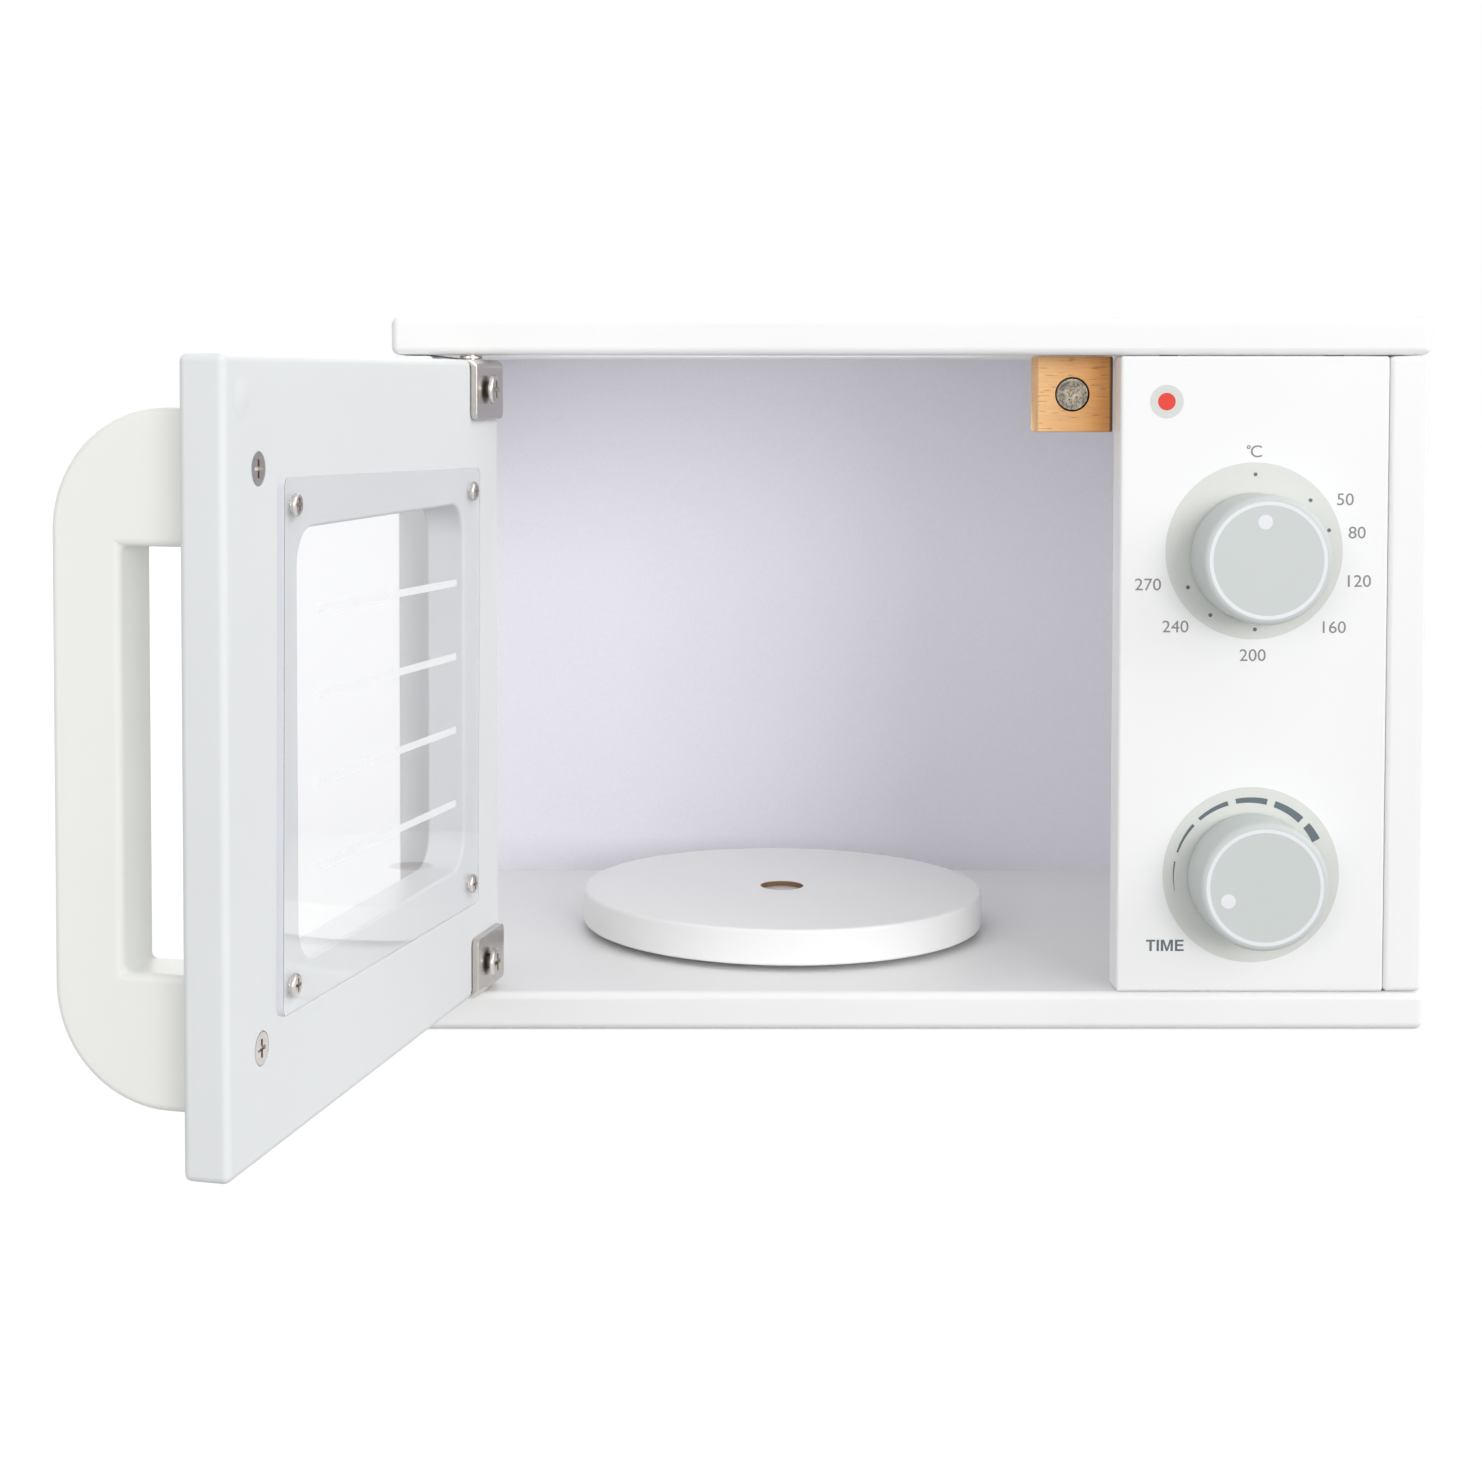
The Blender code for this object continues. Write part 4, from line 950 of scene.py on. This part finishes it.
class MICROWAVE_OT_control_panel(bpy.types.Operator):
    """Make the control panel with its printed dials, numbers and lamp"""

    bl_idname = "microwave.control_panel"
    bl_label = "Control panel"
    bl_options = {"REGISTER", "UNDO"}

    def execute(self, context):
        sizes = context.scene.microwave_sizes
        low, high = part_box("control_panel")
        panel = add_rounded_block("painted_control_panel", low, high, sizes.control_edge, segments=5)
        smooth(panel)
        hand_over(panel, "cabinet", "white_paint", "white_paint", "control_panel")

        upper = self.dial_centre("temperature_knob", low.y, rise=1.7 * MM)
        lower = self.dial_centre("time_knob", low.y, rise=0.4 * MM)
        for name, centre in (("upper_dial_print", upper), ("lower_dial_print", lower)):
            dial = add_round_sheet(name, sizes.dial_radius, sides=128)
            print_sheet(dial, sizes.print_thickness, centre)
            hand_over(dial, "cabinet", "dial_print", "white_paint")

        self.print_numerals(sizes, upper)
        self.print_ticks(sizes, upper)
        self.print_bars(sizes, lower)
        self.print_lamp(sizes, upper)
        word = word_sheet("time_word_print", sizes.label_height)
        print_sheet(word, sizes.print_thickness, Vector((upper.x, low.y, lower.z)), right=-26.8, up=-22.4)
        hand_over(word, "cabinet", "slate_grey", "white_paint")
        return {"FINISHED"}

    def dial_centre(self, knob, face, rise):
        """Middle of a printed dial, which sits a little above the middle of its knob."""
        spot = centre_of(knob)
        return Vector((spot.x, face, spot.z + rise))

    def print_numerals(self, sizes, centre):
        """The numbers round the upper dial and its unit, by their place from its middle in millimetres."""
        numerals = {"50": (28.4, 16.2), "80": (32.2, 5.8), "120": (33.1, -9.4), "160": (25.4, -23.9),
                    "200": (-0.1, -32.7), "240": (-24.4, -23.7), "270": (-33.1, -10.5), "C": (0.4, 31.2)}
        sheets = [print_sheet(text_sheet("numeral_" + words, words, sizes.numeral_height),
                              sizes.print_thickness, centre, *spot)
                  for words, spot in numerals.items()]
        degree = ring_sheet("degree_ring", outer=0.62 * MM, width=0.34 * MM, sides=16)
        sheets.append(print_sheet(degree, sizes.print_thickness, centre, right=-2.0, up=32.5))
        hand_over(join("dial_numbers_print", sheets), "cabinet", "numeral_grey", "white_paint")

    def print_ticks(self, sizes, centre):
        """The dots round the upper dial, by their place from its middle in millimetres."""
        ticks = ((0.2, 24.0), (17.5, 15.9), (23.4, 6.5), (-20.6, -11.4), (-13.5, -20.1), (0.5, -24.6))
        sheets = [print_sheet(add_round_sheet(f"tick_{index}", sizes.tick_radius, sides=20),
                              2 * sizes.print_thickness, centre, *spot)
                  for index, spot in enumerate(ticks)]
        hand_over(join("dial_ticks_print", sheets), "cabinet", "slate_grey", "white_paint")

    def print_bars(self, sizes, centre):
        """The bars of the lower dial, which grow clockwise. Angles are in degrees."""
        outer = 24.5 * MM
        thin = 0.12 * MM
        thick = 2.7 * MM
        bars = ((192, 170), (163, 139), (133, 108), (102, 78), (72, 48), (42, 28))
        first_angle = bars[0][0]
        last_angle = bars[-1][1]
        sheets = []
        for start, stop in bars:
            widths = [thin + (thick - thin) * (first_angle - angle) / (first_angle - last_angle)
                      for angle in (start, stop)]
            bar = arc_sheet(f"bar_{start}", radians(start), radians(stop), outer, *widths)
            sheets.append(print_sheet(bar, 2 * sizes.print_thickness, centre))
        hand_over(join("dial_bars_print", sheets), "cabinet", "slate_grey", "white_paint")

    def print_lamp(self, sizes, centre):
        """The printed lamp, a pale rim and a red disc on it, above the upper dial on the left."""
        rim = add_round_sheet("lamp_rim_print", sizes.lamp_ring, sides=64)
        red = add_round_sheet("lamp_red_print", sizes.lamp_radius, sides=48)
        for sheet, layers, finish in ((rim, 1, "lamp_rim"), (red, 2, "lamp_red")):
            print_sheet(sheet, layers * sizes.print_thickness, centre, right=-27.7, up=46.7)
            hand_over(sheet, "cabinet", finish, "white_paint")


class MICROWAVE_OT_back(bpy.types.Operator):
    """Make the back panel and its screws"""

    bl_idname = "microwave.back"
    bl_label = "Back"
    bl_options = {"REGISTER", "UNDO"}

    def execute(self, context):
        low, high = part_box("back_panel")
        low.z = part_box("bottom_board")[1].z - SEAM_OVERLAP
        high.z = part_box("top_board")[0].z + SEAM_OVERLAP
        panel = add_block("grey_back_board", low, high)
        round_edges(panel, context.scene.microwave_sizes.back_edge, segments=3,
                    wanted=lambda edge: middle(edge).y > high.y - NEAR)
        smooth(panel)
        hand_over(panel, "cabinet", "back_board", "grey_back_board", "back_panel")

        model = flat_screw("back_screw_model", head_radius=2.8 * MM, shank_radius=1.4 * MM,
                           shank_length=14 * MM)
        for side in ("left", "right"):
            for level in ("low", "middle", "high"):
                node = f"back_screw_{side}_{level}"
                fit_screw(copy_of(model, "cross_" + node), node, "cabinet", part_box(node)[1].y)
        bpy.data.objects.remove(model)
        return {"FINISHED"}


class MICROWAVE_OT_magnet(bpy.types.Operator):
    """Make the beech block and its magnet"""

    bl_idname = "microwave.magnet"
    bl_label = "Magnet catch"
    bl_options = {"REGISTER", "UNDO"}

    def execute(self, context):
        sizes = context.scene.microwave_sizes
        low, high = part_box("magnet_block")
        magnet_low, magnet_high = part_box("door_magnet")
        spot = centre_of("door_magnet")
        radius = (magnet_high.x - magnet_low.x) / 2
        hole_depth = 5 * MM
        block = add_rounded_block("beech_magnet_block", low, high, sizes.block_edge, segments=4)
        hole = add_rod("magnet_hole", radius + sizes.magnet_gap, -hole_depth, OVERSHOOT, sides=64)
        place(hole, to_front(spot.x, low.y, spot.z))
        cut(block, hole)
        smooth(block)
        hand_over(block, "cabinet", "beech", "beech", "magnet_block")

        magnet = add_rod("nickel_magnet", radius, magnet_low.y - magnet_high.y, 0, sides=64)
        with Shaping(magnet) as shape:
            shape.round_above(-NEAR, sizes.magnet_edge, segments=4)
        smooth(magnet)
        place(magnet, to_front(spot.x, magnet_low.y, spot.z))
        hand_over(magnet, "cabinet", "magnet", "magnet", "door_magnet")
        return {"FINISHED"}


class MICROWAVE_OT_turntable(bpy.types.Operator):
    """Make the turntable and the bolt that it turns on"""

    bl_idname = "microwave.turntable"
    bl_label = "Turntable"
    bl_options = {"REGISTER", "UNDO"}

    def execute(self, context):
        low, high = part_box("turntable_disc")
        bolt_low, bolt_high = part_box("turntable_bolt")
        centre = centre_of("turntable_disc")
        axis = Matrix.Translation((centre.x, centre.y, 0))
        head_radius = (bolt_high.x - bolt_low.x) / 2
        head_height = 1.8 * MM
        shank_radius = 3 * MM
        disc = add_rod("painted_turntable", (high.x - low.x) / 2, low.z, high.z, sides=160)
        round_edges(disc, context.scene.microwave_sizes.disc_edge, segments=5,
                    wanted=lambda edge: not along(edge, "z"))
        head_gap = 0.85 * MM
        gap = 0.5 * MM
        seat = bolt_high.z - head_height - gap
        cut(disc, add_rod("bolt_recess", head_radius + head_gap, seat, high.z + OVERSHOOT, sides=96))
        cut(disc, add_rod("bolt_hole", shank_radius + gap, low.z - OVERSHOOT, high.z, sides=48))
        smooth(disc)
        place(disc, axis)
        hand_over(disc, "turntable", "turntable_paint", "white_paint", "turntable_disc")

        bolt = add_rod("flat_bolt", head_radius, bolt_high.z - head_height, bolt_high.z, sides=64)
        with Shaping(bolt) as shape:
            shape.round_above(bolt_high.z - NEAR, radius=0.4 * MM, segments=4)
            shape.pick("FACE", looks_down)
            shape.inset(head_radius - shank_radius)
            shape.extrude((0, 0, bolt_low.z - bolt_high.z + head_height))
        smooth(bolt)
        place(bolt, axis)
        hand_over(bolt, "cabinet", "nickel", "nickel", "turntable_bolt")
        refinish("turntable_spacer", "nickel")
        return {"FINISHED"}


class MICROWAVE_OT_knobs(bpy.types.Operator):
    """Make the two knobs with their printed rings and dots, and the screws behind the panel"""

    bl_idname = "microwave.knobs"
    bl_label = "Knobs"
    bl_options = {"REGISTER", "UNDO"}

    def execute(self, context):
        sizes = context.scene.microwave_sizes
        self.make_knob(sizes, "temperature_knob", dot_right=-1.1, dot_up=11.8)
        self.make_knob(sizes, "time_knob", dot_right=-11.3, dot_up=-4.2)
        return {"FINISHED"}

    def make_knob(self, sizes, node, dot_right, dot_up):
        """One knob, its marks, screw and washer. The dot's place from the middle is in millimetres."""
        low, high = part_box(node)
        spot = centre_of(node)
        height = high.y - low.y
        knob = add_rod("turned_" + node, (high.x - low.x) / 2, 0, height, sides=128)
        with Shaping(knob) as shape:
            shape.round_above(height - NEAR, sizes.knob_edge, segments=7)
            shape.pick("EDGE", lambda edge: max(vert.co.z for vert in edge.verts) < NEAR)
            shape.round(sizes.knob_foot, segments=3)
        smooth(knob)
        place(knob, to_front(spot.x, high.y, spot.z))
        hand_over(knob, node, "knob_paint", "knob_grey_green", node)

        face = Vector((spot.x, low.y, spot.z))
        ring = ring_sheet(node + "_ring_print", sizes.ring_radius, sizes.ring_width, sides=128)
        dot = add_round_sheet(node + "_dot", sizes.dot_radius, sides=40)
        print_sheet(ring, sizes.print_thickness, face)
        print_sheet(dot, sizes.print_thickness, face, dot_right, dot_up)
        hand_over(join(node + "_marks_print", [ring, dot]), node, "white_print", "white_paint")

        screw_low, screw_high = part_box(node + "_screw")
        head_height = 2.0 * MM
        screw = pan_screw("cross_" + node + "_screw", (screw_high.x - screw_low.x) / 2, head_height,
                          shank_radius=1.8 * MM, shank_length=screw_high.y - screw_low.y - head_height)
        fit_screw(screw, node + "_screw", node, screw_high.y - head_height)
        refinish(node + "_washer", "nickel")


class MICROWAVE_OT_door(bpy.types.Operator):
    """Make the door board with its window and the painted-over strike screw"""

    bl_idname = "microwave.door"
    bl_label = "Door"
    bl_options = {"REGISTER", "UNDO"}

    def execute(self, context):
        sizes = context.scene.microwave_sizes
        low, high = door_box("door_board")
        board = add_block("painted_door_board", low, high)
        self.cut_window(sizes, board, low, high)
        for end, name in ((1, "upper"), (-1, "lower")):
            self.cut_rebate(sizes, board, name, end)
        for name in ("upper", "lower"):
            self.sink(board, "handle_screw_" + name, high.y)
        smooth(board)
        place(board, DOOR_PLACE)
        hand_over(board, "door", "shaded_door_paint", "white_paint", "door_board")
        self.make_strike(high.y)
        return {"FINISHED"}

    def cut_window(self, sizes, board, low, high):
        """The window through the door, and the round edges about it and about the door."""
        plate_low, plate_high = door_box("window_plate")
        overlap = sizes.window_overlap
        window = add_rounded_block("window_cutter",
                                   (plate_low.x + overlap, low.y - OVERSHOOT, plate_low.z + overlap),
                                   (plate_high.x - overlap, high.y + OVERSHOOT, plate_high.z - overlap),
                                   sizes.window_corner, segments=14, axes="y")
        cut(board, window)
        round_edges(board, sizes.window_edge, segments=4,
                    wanted=lambda edge: is_sharp(edge) and inside(middle(edge), plate_low, plate_high))
        round_edges(board, sizes.door_edge, segments=5,
                    wanted=lambda edge: is_sharp(edge) and not inside(middle(edge), low, high, margin=MM))

    def cut_rebate(self, sizes, board, name, end):
        """The step that a bracket's foot lies in."""
        low, high = door_box("pivot_bracket_" + name)
        gap = 0.3 * MM
        outer = high.z if end > 0 else low.z
        depths = (outer - end * (sizes.bracket_sheet + gap), outer + end * OVERSHOOT)
        step = add_block("rebate_cutter", (low.x - gap, low.y - gap, min(depths)),
                         (high.x + gap, high.y + OVERSHOOT, max(depths)))
        cut(board, step)

    def sink(self, board, screw, face):
        """The narrow gap round a flush screw head."""
        low, high = door_box(screw)
        spot = centre_of(screw, door_box)
        gap = 0.2 * MM
        depth = 0.8 * MM
        well = add_rod("head_cutter", (high.z - low.z) / 2 + gap, -depth, OVERSHOOT, sides=48)
        place(well, to_rear(spot.x, face, spot.z))
        cut(board, well)

    def make_strike(self, face):
        """The screw head that meets the magnet, a low dome under the door's paint."""
        low, high = door_box("strike_screw")
        spot = centre_of("strike_screw", door_box)
        radius = (high.z - low.z) / 2
        proud = high.y - face
        depth = 1 * MM
        dome_steps = ((0.20, 0.10), (0.20, 0.22), (0.20, 0.22), (0.15, 0.12))
        strike = add_rod("painted_strike", radius, -depth, SEAM_OVERLAP, sides=64)
        with Shaping(strike) as shape:
            shape.pick("FACE", looks_up)
            for inwards, upwards in dome_steps:
                shape.inset(radius * inwards)
                bpy.ops.transform.translate(value=(0, 0, proud * upwards))
        smooth(strike)
        place(strike, DOOR_PLACE @ to_rear(spot.x, face, spot.z))
        hand_over(strike, "door", "shaded_door_paint", "white_paint", "strike_screw")


class MICROWAVE_OT_window(bpy.types.Operator):
    """Make the clear plate, its printed stripes and its screws"""

    bl_idname = "microwave.window"
    bl_label = "Window"
    bl_options = {"REGISTER", "UNDO"}

    def execute(self, context):
        sizes = context.scene.microwave_sizes
        low, high = door_box("window_plate")
        high.y = low.y + sizes.plate_thickness
        centre = (low + high) / 2
        lean = (Matrix.Translation(centre) @ Matrix.Rotation(-sizes.plate_lean, 4, "Y")
                @ Matrix.Translation(-centre))
        screws = [f"window_screw_{level}_{side}_side"
                  for level in ("upper", "lower") for side in ("hinge", "free")]
        self.make_plate(sizes, low, high, screws, DOOR_PLACE @ lean)
        self.make_screws(screws, high.y, DOOR_PLACE @ lean)
        self.print_stripes(sizes, centre, high.y, DOOR_PLACE @ lean)
        return {"FINISHED"}

    def make_plate(self, sizes, low, high, screws, lie):
        """The clear plate with its four holes and its frosted edges."""
        hole_radius = 1.8 * MM
        reach = 5 * MM
        plate = add_rounded_block("clear_window_plate", low, high, sizes.plate_corner, segments=6, axes="y")
        round_sharp_edges(plate, sizes.plate_edge, segments=2)
        for name in screws:
            spot = centre_of(name, door_box)
            hole = add_rod("plate_hole", hole_radius, -reach, reach, sides=32)
            place(hole, to_rear(spot.x, low.y, spot.z))
            cut(plate, hole)
        smooth(plate)
        plate.data.materials.append(finish_named("acrylic"))
        plate.data.materials.append(finish_named("sawn_acrylic"))
        self.frost(plate, low, high)
        place(plate, lie)
        hand_over(plate, "door", "acrylic", "clear_acrylic", "window_plate")

    def frost(self, plate, low, high):
        """Give the faces round the plate's rim the second finish."""
        for face in plate.data.polygons:
            if abs(face.normal.y) < 0.9 and not inside(face.center, low, high, margin=2.6 * MM):
                face.material_index = 1

    def make_screws(self, screws, face, lie):
        """The four screws that hold the plate."""
        model = pan_screw("window_screw_model", head_radius=2.9 * MM, head_height=1.15 * MM,
                          shank_radius=1.5 * MM, shank_length=7 * MM)
        for name in screws:
            fit_screw(copy_of(model, "cross_" + name), name, "door", face, lie, door_box)
        bpy.data.objects.remove(model)

    def print_stripes(self, sizes, centre, face, lie):
        """The four printed stripes on the plate's inner face."""
        stripes = []
        count = 4
        half_length = sizes.stripe_length / 2
        half_width = sizes.stripe_width / 2
        layer = sizes.print_thickness
        for index in range(count):
            height = centre.z + (index - (count - 1) / 2) * sizes.stripe_pitch
            low = (centre.x - half_length, face - layer / 2, height - half_width)
            high = (centre.x + half_length, face + layer, height + half_width)
            stripes.append(add_rounded_block(f"stripe_{index}", low, high, sizes.stripe_corner,
                                             segments=4, axes="y"))
        printed = join("window_stripes_print", stripes)
        place(printed, lie)
        hand_over(printed, "door", "stripe_print", "white_paint")


class MICROWAVE_OT_handle(bpy.types.Operator):
    """Make the C-shaped handle and its screws"""

    bl_idname = "microwave.handle"
    bl_label = "Handle"
    bl_options = {"REGISTER", "UNDO"}

    def execute(self, context):
        sizes = context.scene.microwave_sizes
        low, high = door_box("door_handle")
        handle = add_block("painted_handle", low, high)
        round_edges(handle, sizes.handle_corner, segments=20,
                    wanted=lambda edge: along(edge, "x") and middle(edge).y < low.y + MM)
        slot = add_block("slot_cutter", (low.x - MM, low.y + sizes.handle_grip, low.z + sizes.handle_arm),
                         (high.x + MM, high.y + MM, high.z - sizes.handle_arm))
        cut(handle, slot)
        round_sharp_edges(handle, sizes.handle_edge, segments=5)
        smooth(handle)
        place(handle, DOOR_PLACE)
        hand_over(handle, "door", "handle_paint", "white_paint", "door_handle")

        head_depth = 3 * MM
        for name in ("upper", "lower"):
            node = "handle_screw_" + name
            screw_low, screw_high = door_box(node)
            screw = flat_screw("cross_" + node, (screw_high.z - screw_low.z) / 2, shank_radius=2 * MM,
                               shank_length=screw_high.y - screw_low.y - head_depth)
            fit_screw(screw, node, "door", screw_high.y, DOOR_PLACE, door_box)
        return {"FINISHED"}


class MICROWAVE_OT_hinges(bpy.types.Operator):
    """Make the pivot brackets, their screws and washers, and finish the pins"""

    bl_idname = "microwave.hinges"
    bl_label = "Hinges"
    bl_options = {"REGISTER", "UNDO"}

    def execute(self, context):
        for name, end in (("upper", 1), ("lower", -1)):
            self.make_bracket(context.scene.microwave_sizes, name, end)
            self.make_screw(name)
            self.make_washer(name)
            refinish("pivot_pin_" + name, "nickel")
        return {"FINISHED"}

    def make_bracket(self, sizes, name, end):
        """The L-shaped bracket, bent from sheet, with a hole for its pin and one for its screw."""
        low, high = door_box("pivot_bracket_" + name)
        spot = (low + high) / 2
        leg = high.z - low.z
        bpy.ops.object.select_all(action="DESELECT")
        bpy.ops.mesh.primitive_plane_add(size=1, rotation=(pi / 2, 0, 0))
        bracket = named("bent_bracket_" + name)
        bracket.scale = (high.x - low.x, leg, 1)
        settle(bracket)
        with Shaping(bracket) as shape:
            shape.pick("EDGE", lambda edge: middle(edge).z > leg * 0.4)
            shape.extrude((0, low.y - high.y, 0))
            shape.pick("VERT", lambda vert: len(vert.link_edges) == 2)
            bpy.ops.mesh.bevel(offset=sizes.bracket_corner, segments=6, affect="VERTICES")
            shape.pick("EDGE", lambda edge: along(edge, "x") and len(edge.link_faces) == 2)
            shape.round(sizes.bracket_bend, segments=8)
            shape.turn_up(lambda face: abs(face.normal.z) > 0.9)
        apply_modifier(bracket, "SOLIDIFY", thickness=sizes.bracket_sheet, offset=-1.0)
        round_sharp_edges(bracket, radius=0.25 * MM, segments=3)
        turn = Matrix.Rotation(0 if end > 0 else pi, 4, "Y")
        place(bracket, Matrix.Translation((spot.x, high.y, spot.z)) @ turn)
        screw = centre_of("bracket_screw_" + name, door_box)
        hole_radius = 2.3 * MM
        reach = 12 * MM
        for matrix in (Matrix.Translation((0, 0, spot.z)), to_rear(screw.x, high.y, screw.z)):
            hole = add_rod("bracket_hole", hole_radius, -reach, reach, sides=40)
            place(hole, matrix)
            cut(bracket, hole)
        smooth(bracket)
        place(bracket, DOOR_PLACE)
        hand_over(bracket, "door", "nickel", "nickel", "pivot_bracket_" + name)

    def make_screw(self, name):
        """The pan-head screw through a bracket."""
        node = "bracket_screw_" + name
        low, high = door_box(node)
        head_height = 2.2 * MM
        screw = pan_screw("cross_" + node, (high.z - low.z) / 2, head_height, shank_radius=2 * MM,
                          shank_length=high.y - low.y - head_height, undercut=0.9 * MM)
        fit_screw(screw, node, "door", high.y - head_height, DOOR_PLACE, door_box)

    def make_washer(self, name):
        """The washer between the door and a board."""
        node = "pivot_washer_" + name
        low, high = door_box(node)
        outer = (high.x - low.x) / 2
        bore = 2.3 * MM
        washer = ring_sheet("turned_" + node, outer, outer - bore, sides=64)
        thicken(washer, high.z - low.z)
        round_sharp_edges(washer, radius=0.15 * MM, segments=2)
        smooth(washer)
        place(washer, DOOR_PLACE @ Matrix.Translation((0, 0, low.z)))
        hand_over(washer, "door", "nickel", "nickel", node)


class MICROWAVE_OT_dowels(bpy.types.Operator):
    """Finish the hidden dowels"""

    bl_idname = "microwave.dowels"
    bl_label = "Dowels"
    bl_options = {"REGISTER", "UNDO"}

    def execute(self, context):
        for node in frame["nodes"]:
            if node.startswith("dowel_"):
                refinish(node, "beech")
        return {"FINISHED"}


class MICROWAVE_OT_stage(bpy.types.Operator):
    """Set up the pale floor, the soft light and the camera"""

    bl_idname = "microwave.stage"
    bl_label = "Stage"
    bl_options = {"REGISTER", "UNDO"}

    def execute(self, context):
        stage = context.scene.microwave_stage
        self.lay_floor(stage)
        self.light_room(context.scene, stage)
        self.add_lamps(stage)
        self.add_inner_light(stage)
        self.set_camera(context.scene, stage)
        context.scene.view_settings.view_transform = "Standard"
        return {"FINISHED"}

    def lay_floor(self, stage):
        """A white floor that keeps the object's shadow."""
        bpy.ops.object.select_all(action="DESELECT")
        bpy.ops.mesh.primitive_plane_add(size=stage.floor_size, location=(0, 0, -0.2 * MM))
        floor = named("white_floor")
        recipe = Recipe("white_floor_paper")
        recipe.finish((0.4, 0.4, 0.4), 0.8, constants={"Specular IOR Level": 0.0})
        glow_strength = recipe.straight_look() * stage.floor_glow
        glow = recipe.node("ShaderNodeEmission", values={"Strength": glow_strength})
        recipe.show(recipe.node("ShaderNodeAddShader", values={0: recipe.surface(), 1: glow}))
        floor.data.materials.append(recipe.made)

    def light_room(self, scene, stage):
        """Even light from all round, in front of a white background."""
        room = Recipe("white_room", "worlds", "Background")
        room.feed(room.shader.inputs["Color"], (1, 1, 1))
        room.feed(room.shader.inputs["Strength"], room.straight_look() * (1.0 - stage.sky) + stage.sky)
        scene.world = room.made

    def add_lamps(self, stage):
        """Soft lamps about the object: strength, then degrees to the right, degrees up and degrees wide."""
        lamps = {"key_light": (stage.key, 25, 8, 30), "fill_light": (stage.fill, -30, 8, 30),
                 "cross_light": (stage.cross, 45, 20, 50), "side_light": (stage.side, 80, 30, 50),
                 "rear_light": (stage.rear, 190, 14, 60)}
        for name, (energy, right, up, width) in lamps.items():
            bpy.ops.object.light_add(type="SUN")
            lamp = named(name)
            lamp.data.energy = energy
            lamp.data.angle = radians(width)
            side = radians(right)
            height = radians(up)
            source = Vector((sin(side) * cos(height), -cos(side) * cos(height), sin(height)))
            lamp.rotation_euler = source.to_track_quat("Z", "Y").to_euler()

    def add_inner_light(self, stage):
        """A small soft panel under the top board's front edge that shines to the back and down."""
        shine = Vector((0, 0.9, -0.44))
        bpy.ops.object.light_add(type="AREA", location=(-45 * MM, -75 * MM, 198 * MM))
        panel = named("inner_light")
        panel.data.shape = "RECTANGLE"
        panel.data.size = 150 * MM
        panel.data.size_y = 24 * MM
        panel.data.energy = stage.inner
        panel.rotation_euler = shine.to_track_quat("-Z", "Z").to_euler()
        panel.visible_camera = panel.visible_glossy = panel.visible_transmission = False

    def set_camera(self, scene, stage):
        """The photograph's viewing angle. The place is in metres and the turns are in degrees."""
        spot = Vector((-0.08537, -0.85646, 0.20442))
        yaw = -0.126
        down = 2.273
        roll = 0.027
        bpy.ops.object.camera_add()
        camera = named("front_camera")
        camera.matrix_world = (Matrix.Translation(spot) @ Matrix.Rotation(radians(yaw), 4, "Z")
                               @ Matrix.Rotation(radians(90 - down), 4, "X")
                               @ Matrix.Rotation(radians(roll), 4, "Z"))
        camera.data.lens = stage.lens
        camera.data.sensor_width = 36.0
        camera.data.shift_x = 0.0656
        camera.data.shift_y = -0.1777
        camera.data.clip_start = 0.01
        camera.data.clip_end = 50.0
        scene.camera = camera


PIECE_OPERATORS = (
    MICROWAVE_OT_boards,
    MICROWAVE_OT_control_panel,
    MICROWAVE_OT_back,
    MICROWAVE_OT_magnet,
    MICROWAVE_OT_turntable,
    MICROWAVE_OT_knobs,
    MICROWAVE_OT_door,
    MICROWAVE_OT_window,
    MICROWAVE_OT_handle,
    MICROWAVE_OT_hinges,
    MICROWAVE_OT_dowels,
    MICROWAVE_OT_stage,
)
SETTINGS = {"microwave_sizes": MicrowaveSizes, "microwave_colours": MicrowaveColours,
            "microwave_stage": MicrowaveStage}


class MICROWAVE_PT_sidebar(bpy.types.Panel):
    """Lists the pieces in the 3D view's sidebar"""

    bl_idname = "MICROWAVE_PT_sidebar"
    bl_label = "Toy Microwave"
    bl_space_type = "VIEW_3D"
    bl_region_type = "UI"
    bl_category = "Microwave"

    def draw(self, context):
        for operator in PIECE_OPERATORS:
            self.layout.operator(operator.bl_idname)
        for name in SETTINGS:
            settings = getattr(context.scene, name)
            box = self.layout.box()
            for setting in settings.bl_rna.properties.keys():
                if setting not in ("rna_type", "name"):
                    box.prop(settings, setting)


CLASSES = (*SETTINGS.values(), *PIECE_OPERATORS, MICROWAVE_PT_sidebar)


def register():
    """Register the classes and hang the settings on the scene."""
    for item in CLASSES:
        bpy.utils.register_class(item)
    for name, group in SETTINGS.items():
        setattr(bpy.types.Scene, name, PointerProperty(type=group))


def unregister():
    """Take the settings and the classes away again."""
    for name in SETTINGS:
        delattr(bpy.types.Scene, name)
    for item in reversed(CLASSES):
        bpy.utils.unregister_class(item)


def main():
    """Make every piece and the stage."""
    register()
    for operator in PIECE_OPERATORS:
        group, name = operator.bl_idname.split(".")
        getattr(getattr(bpy.ops, group), name)()


if __name__ == "__main__":
    main()
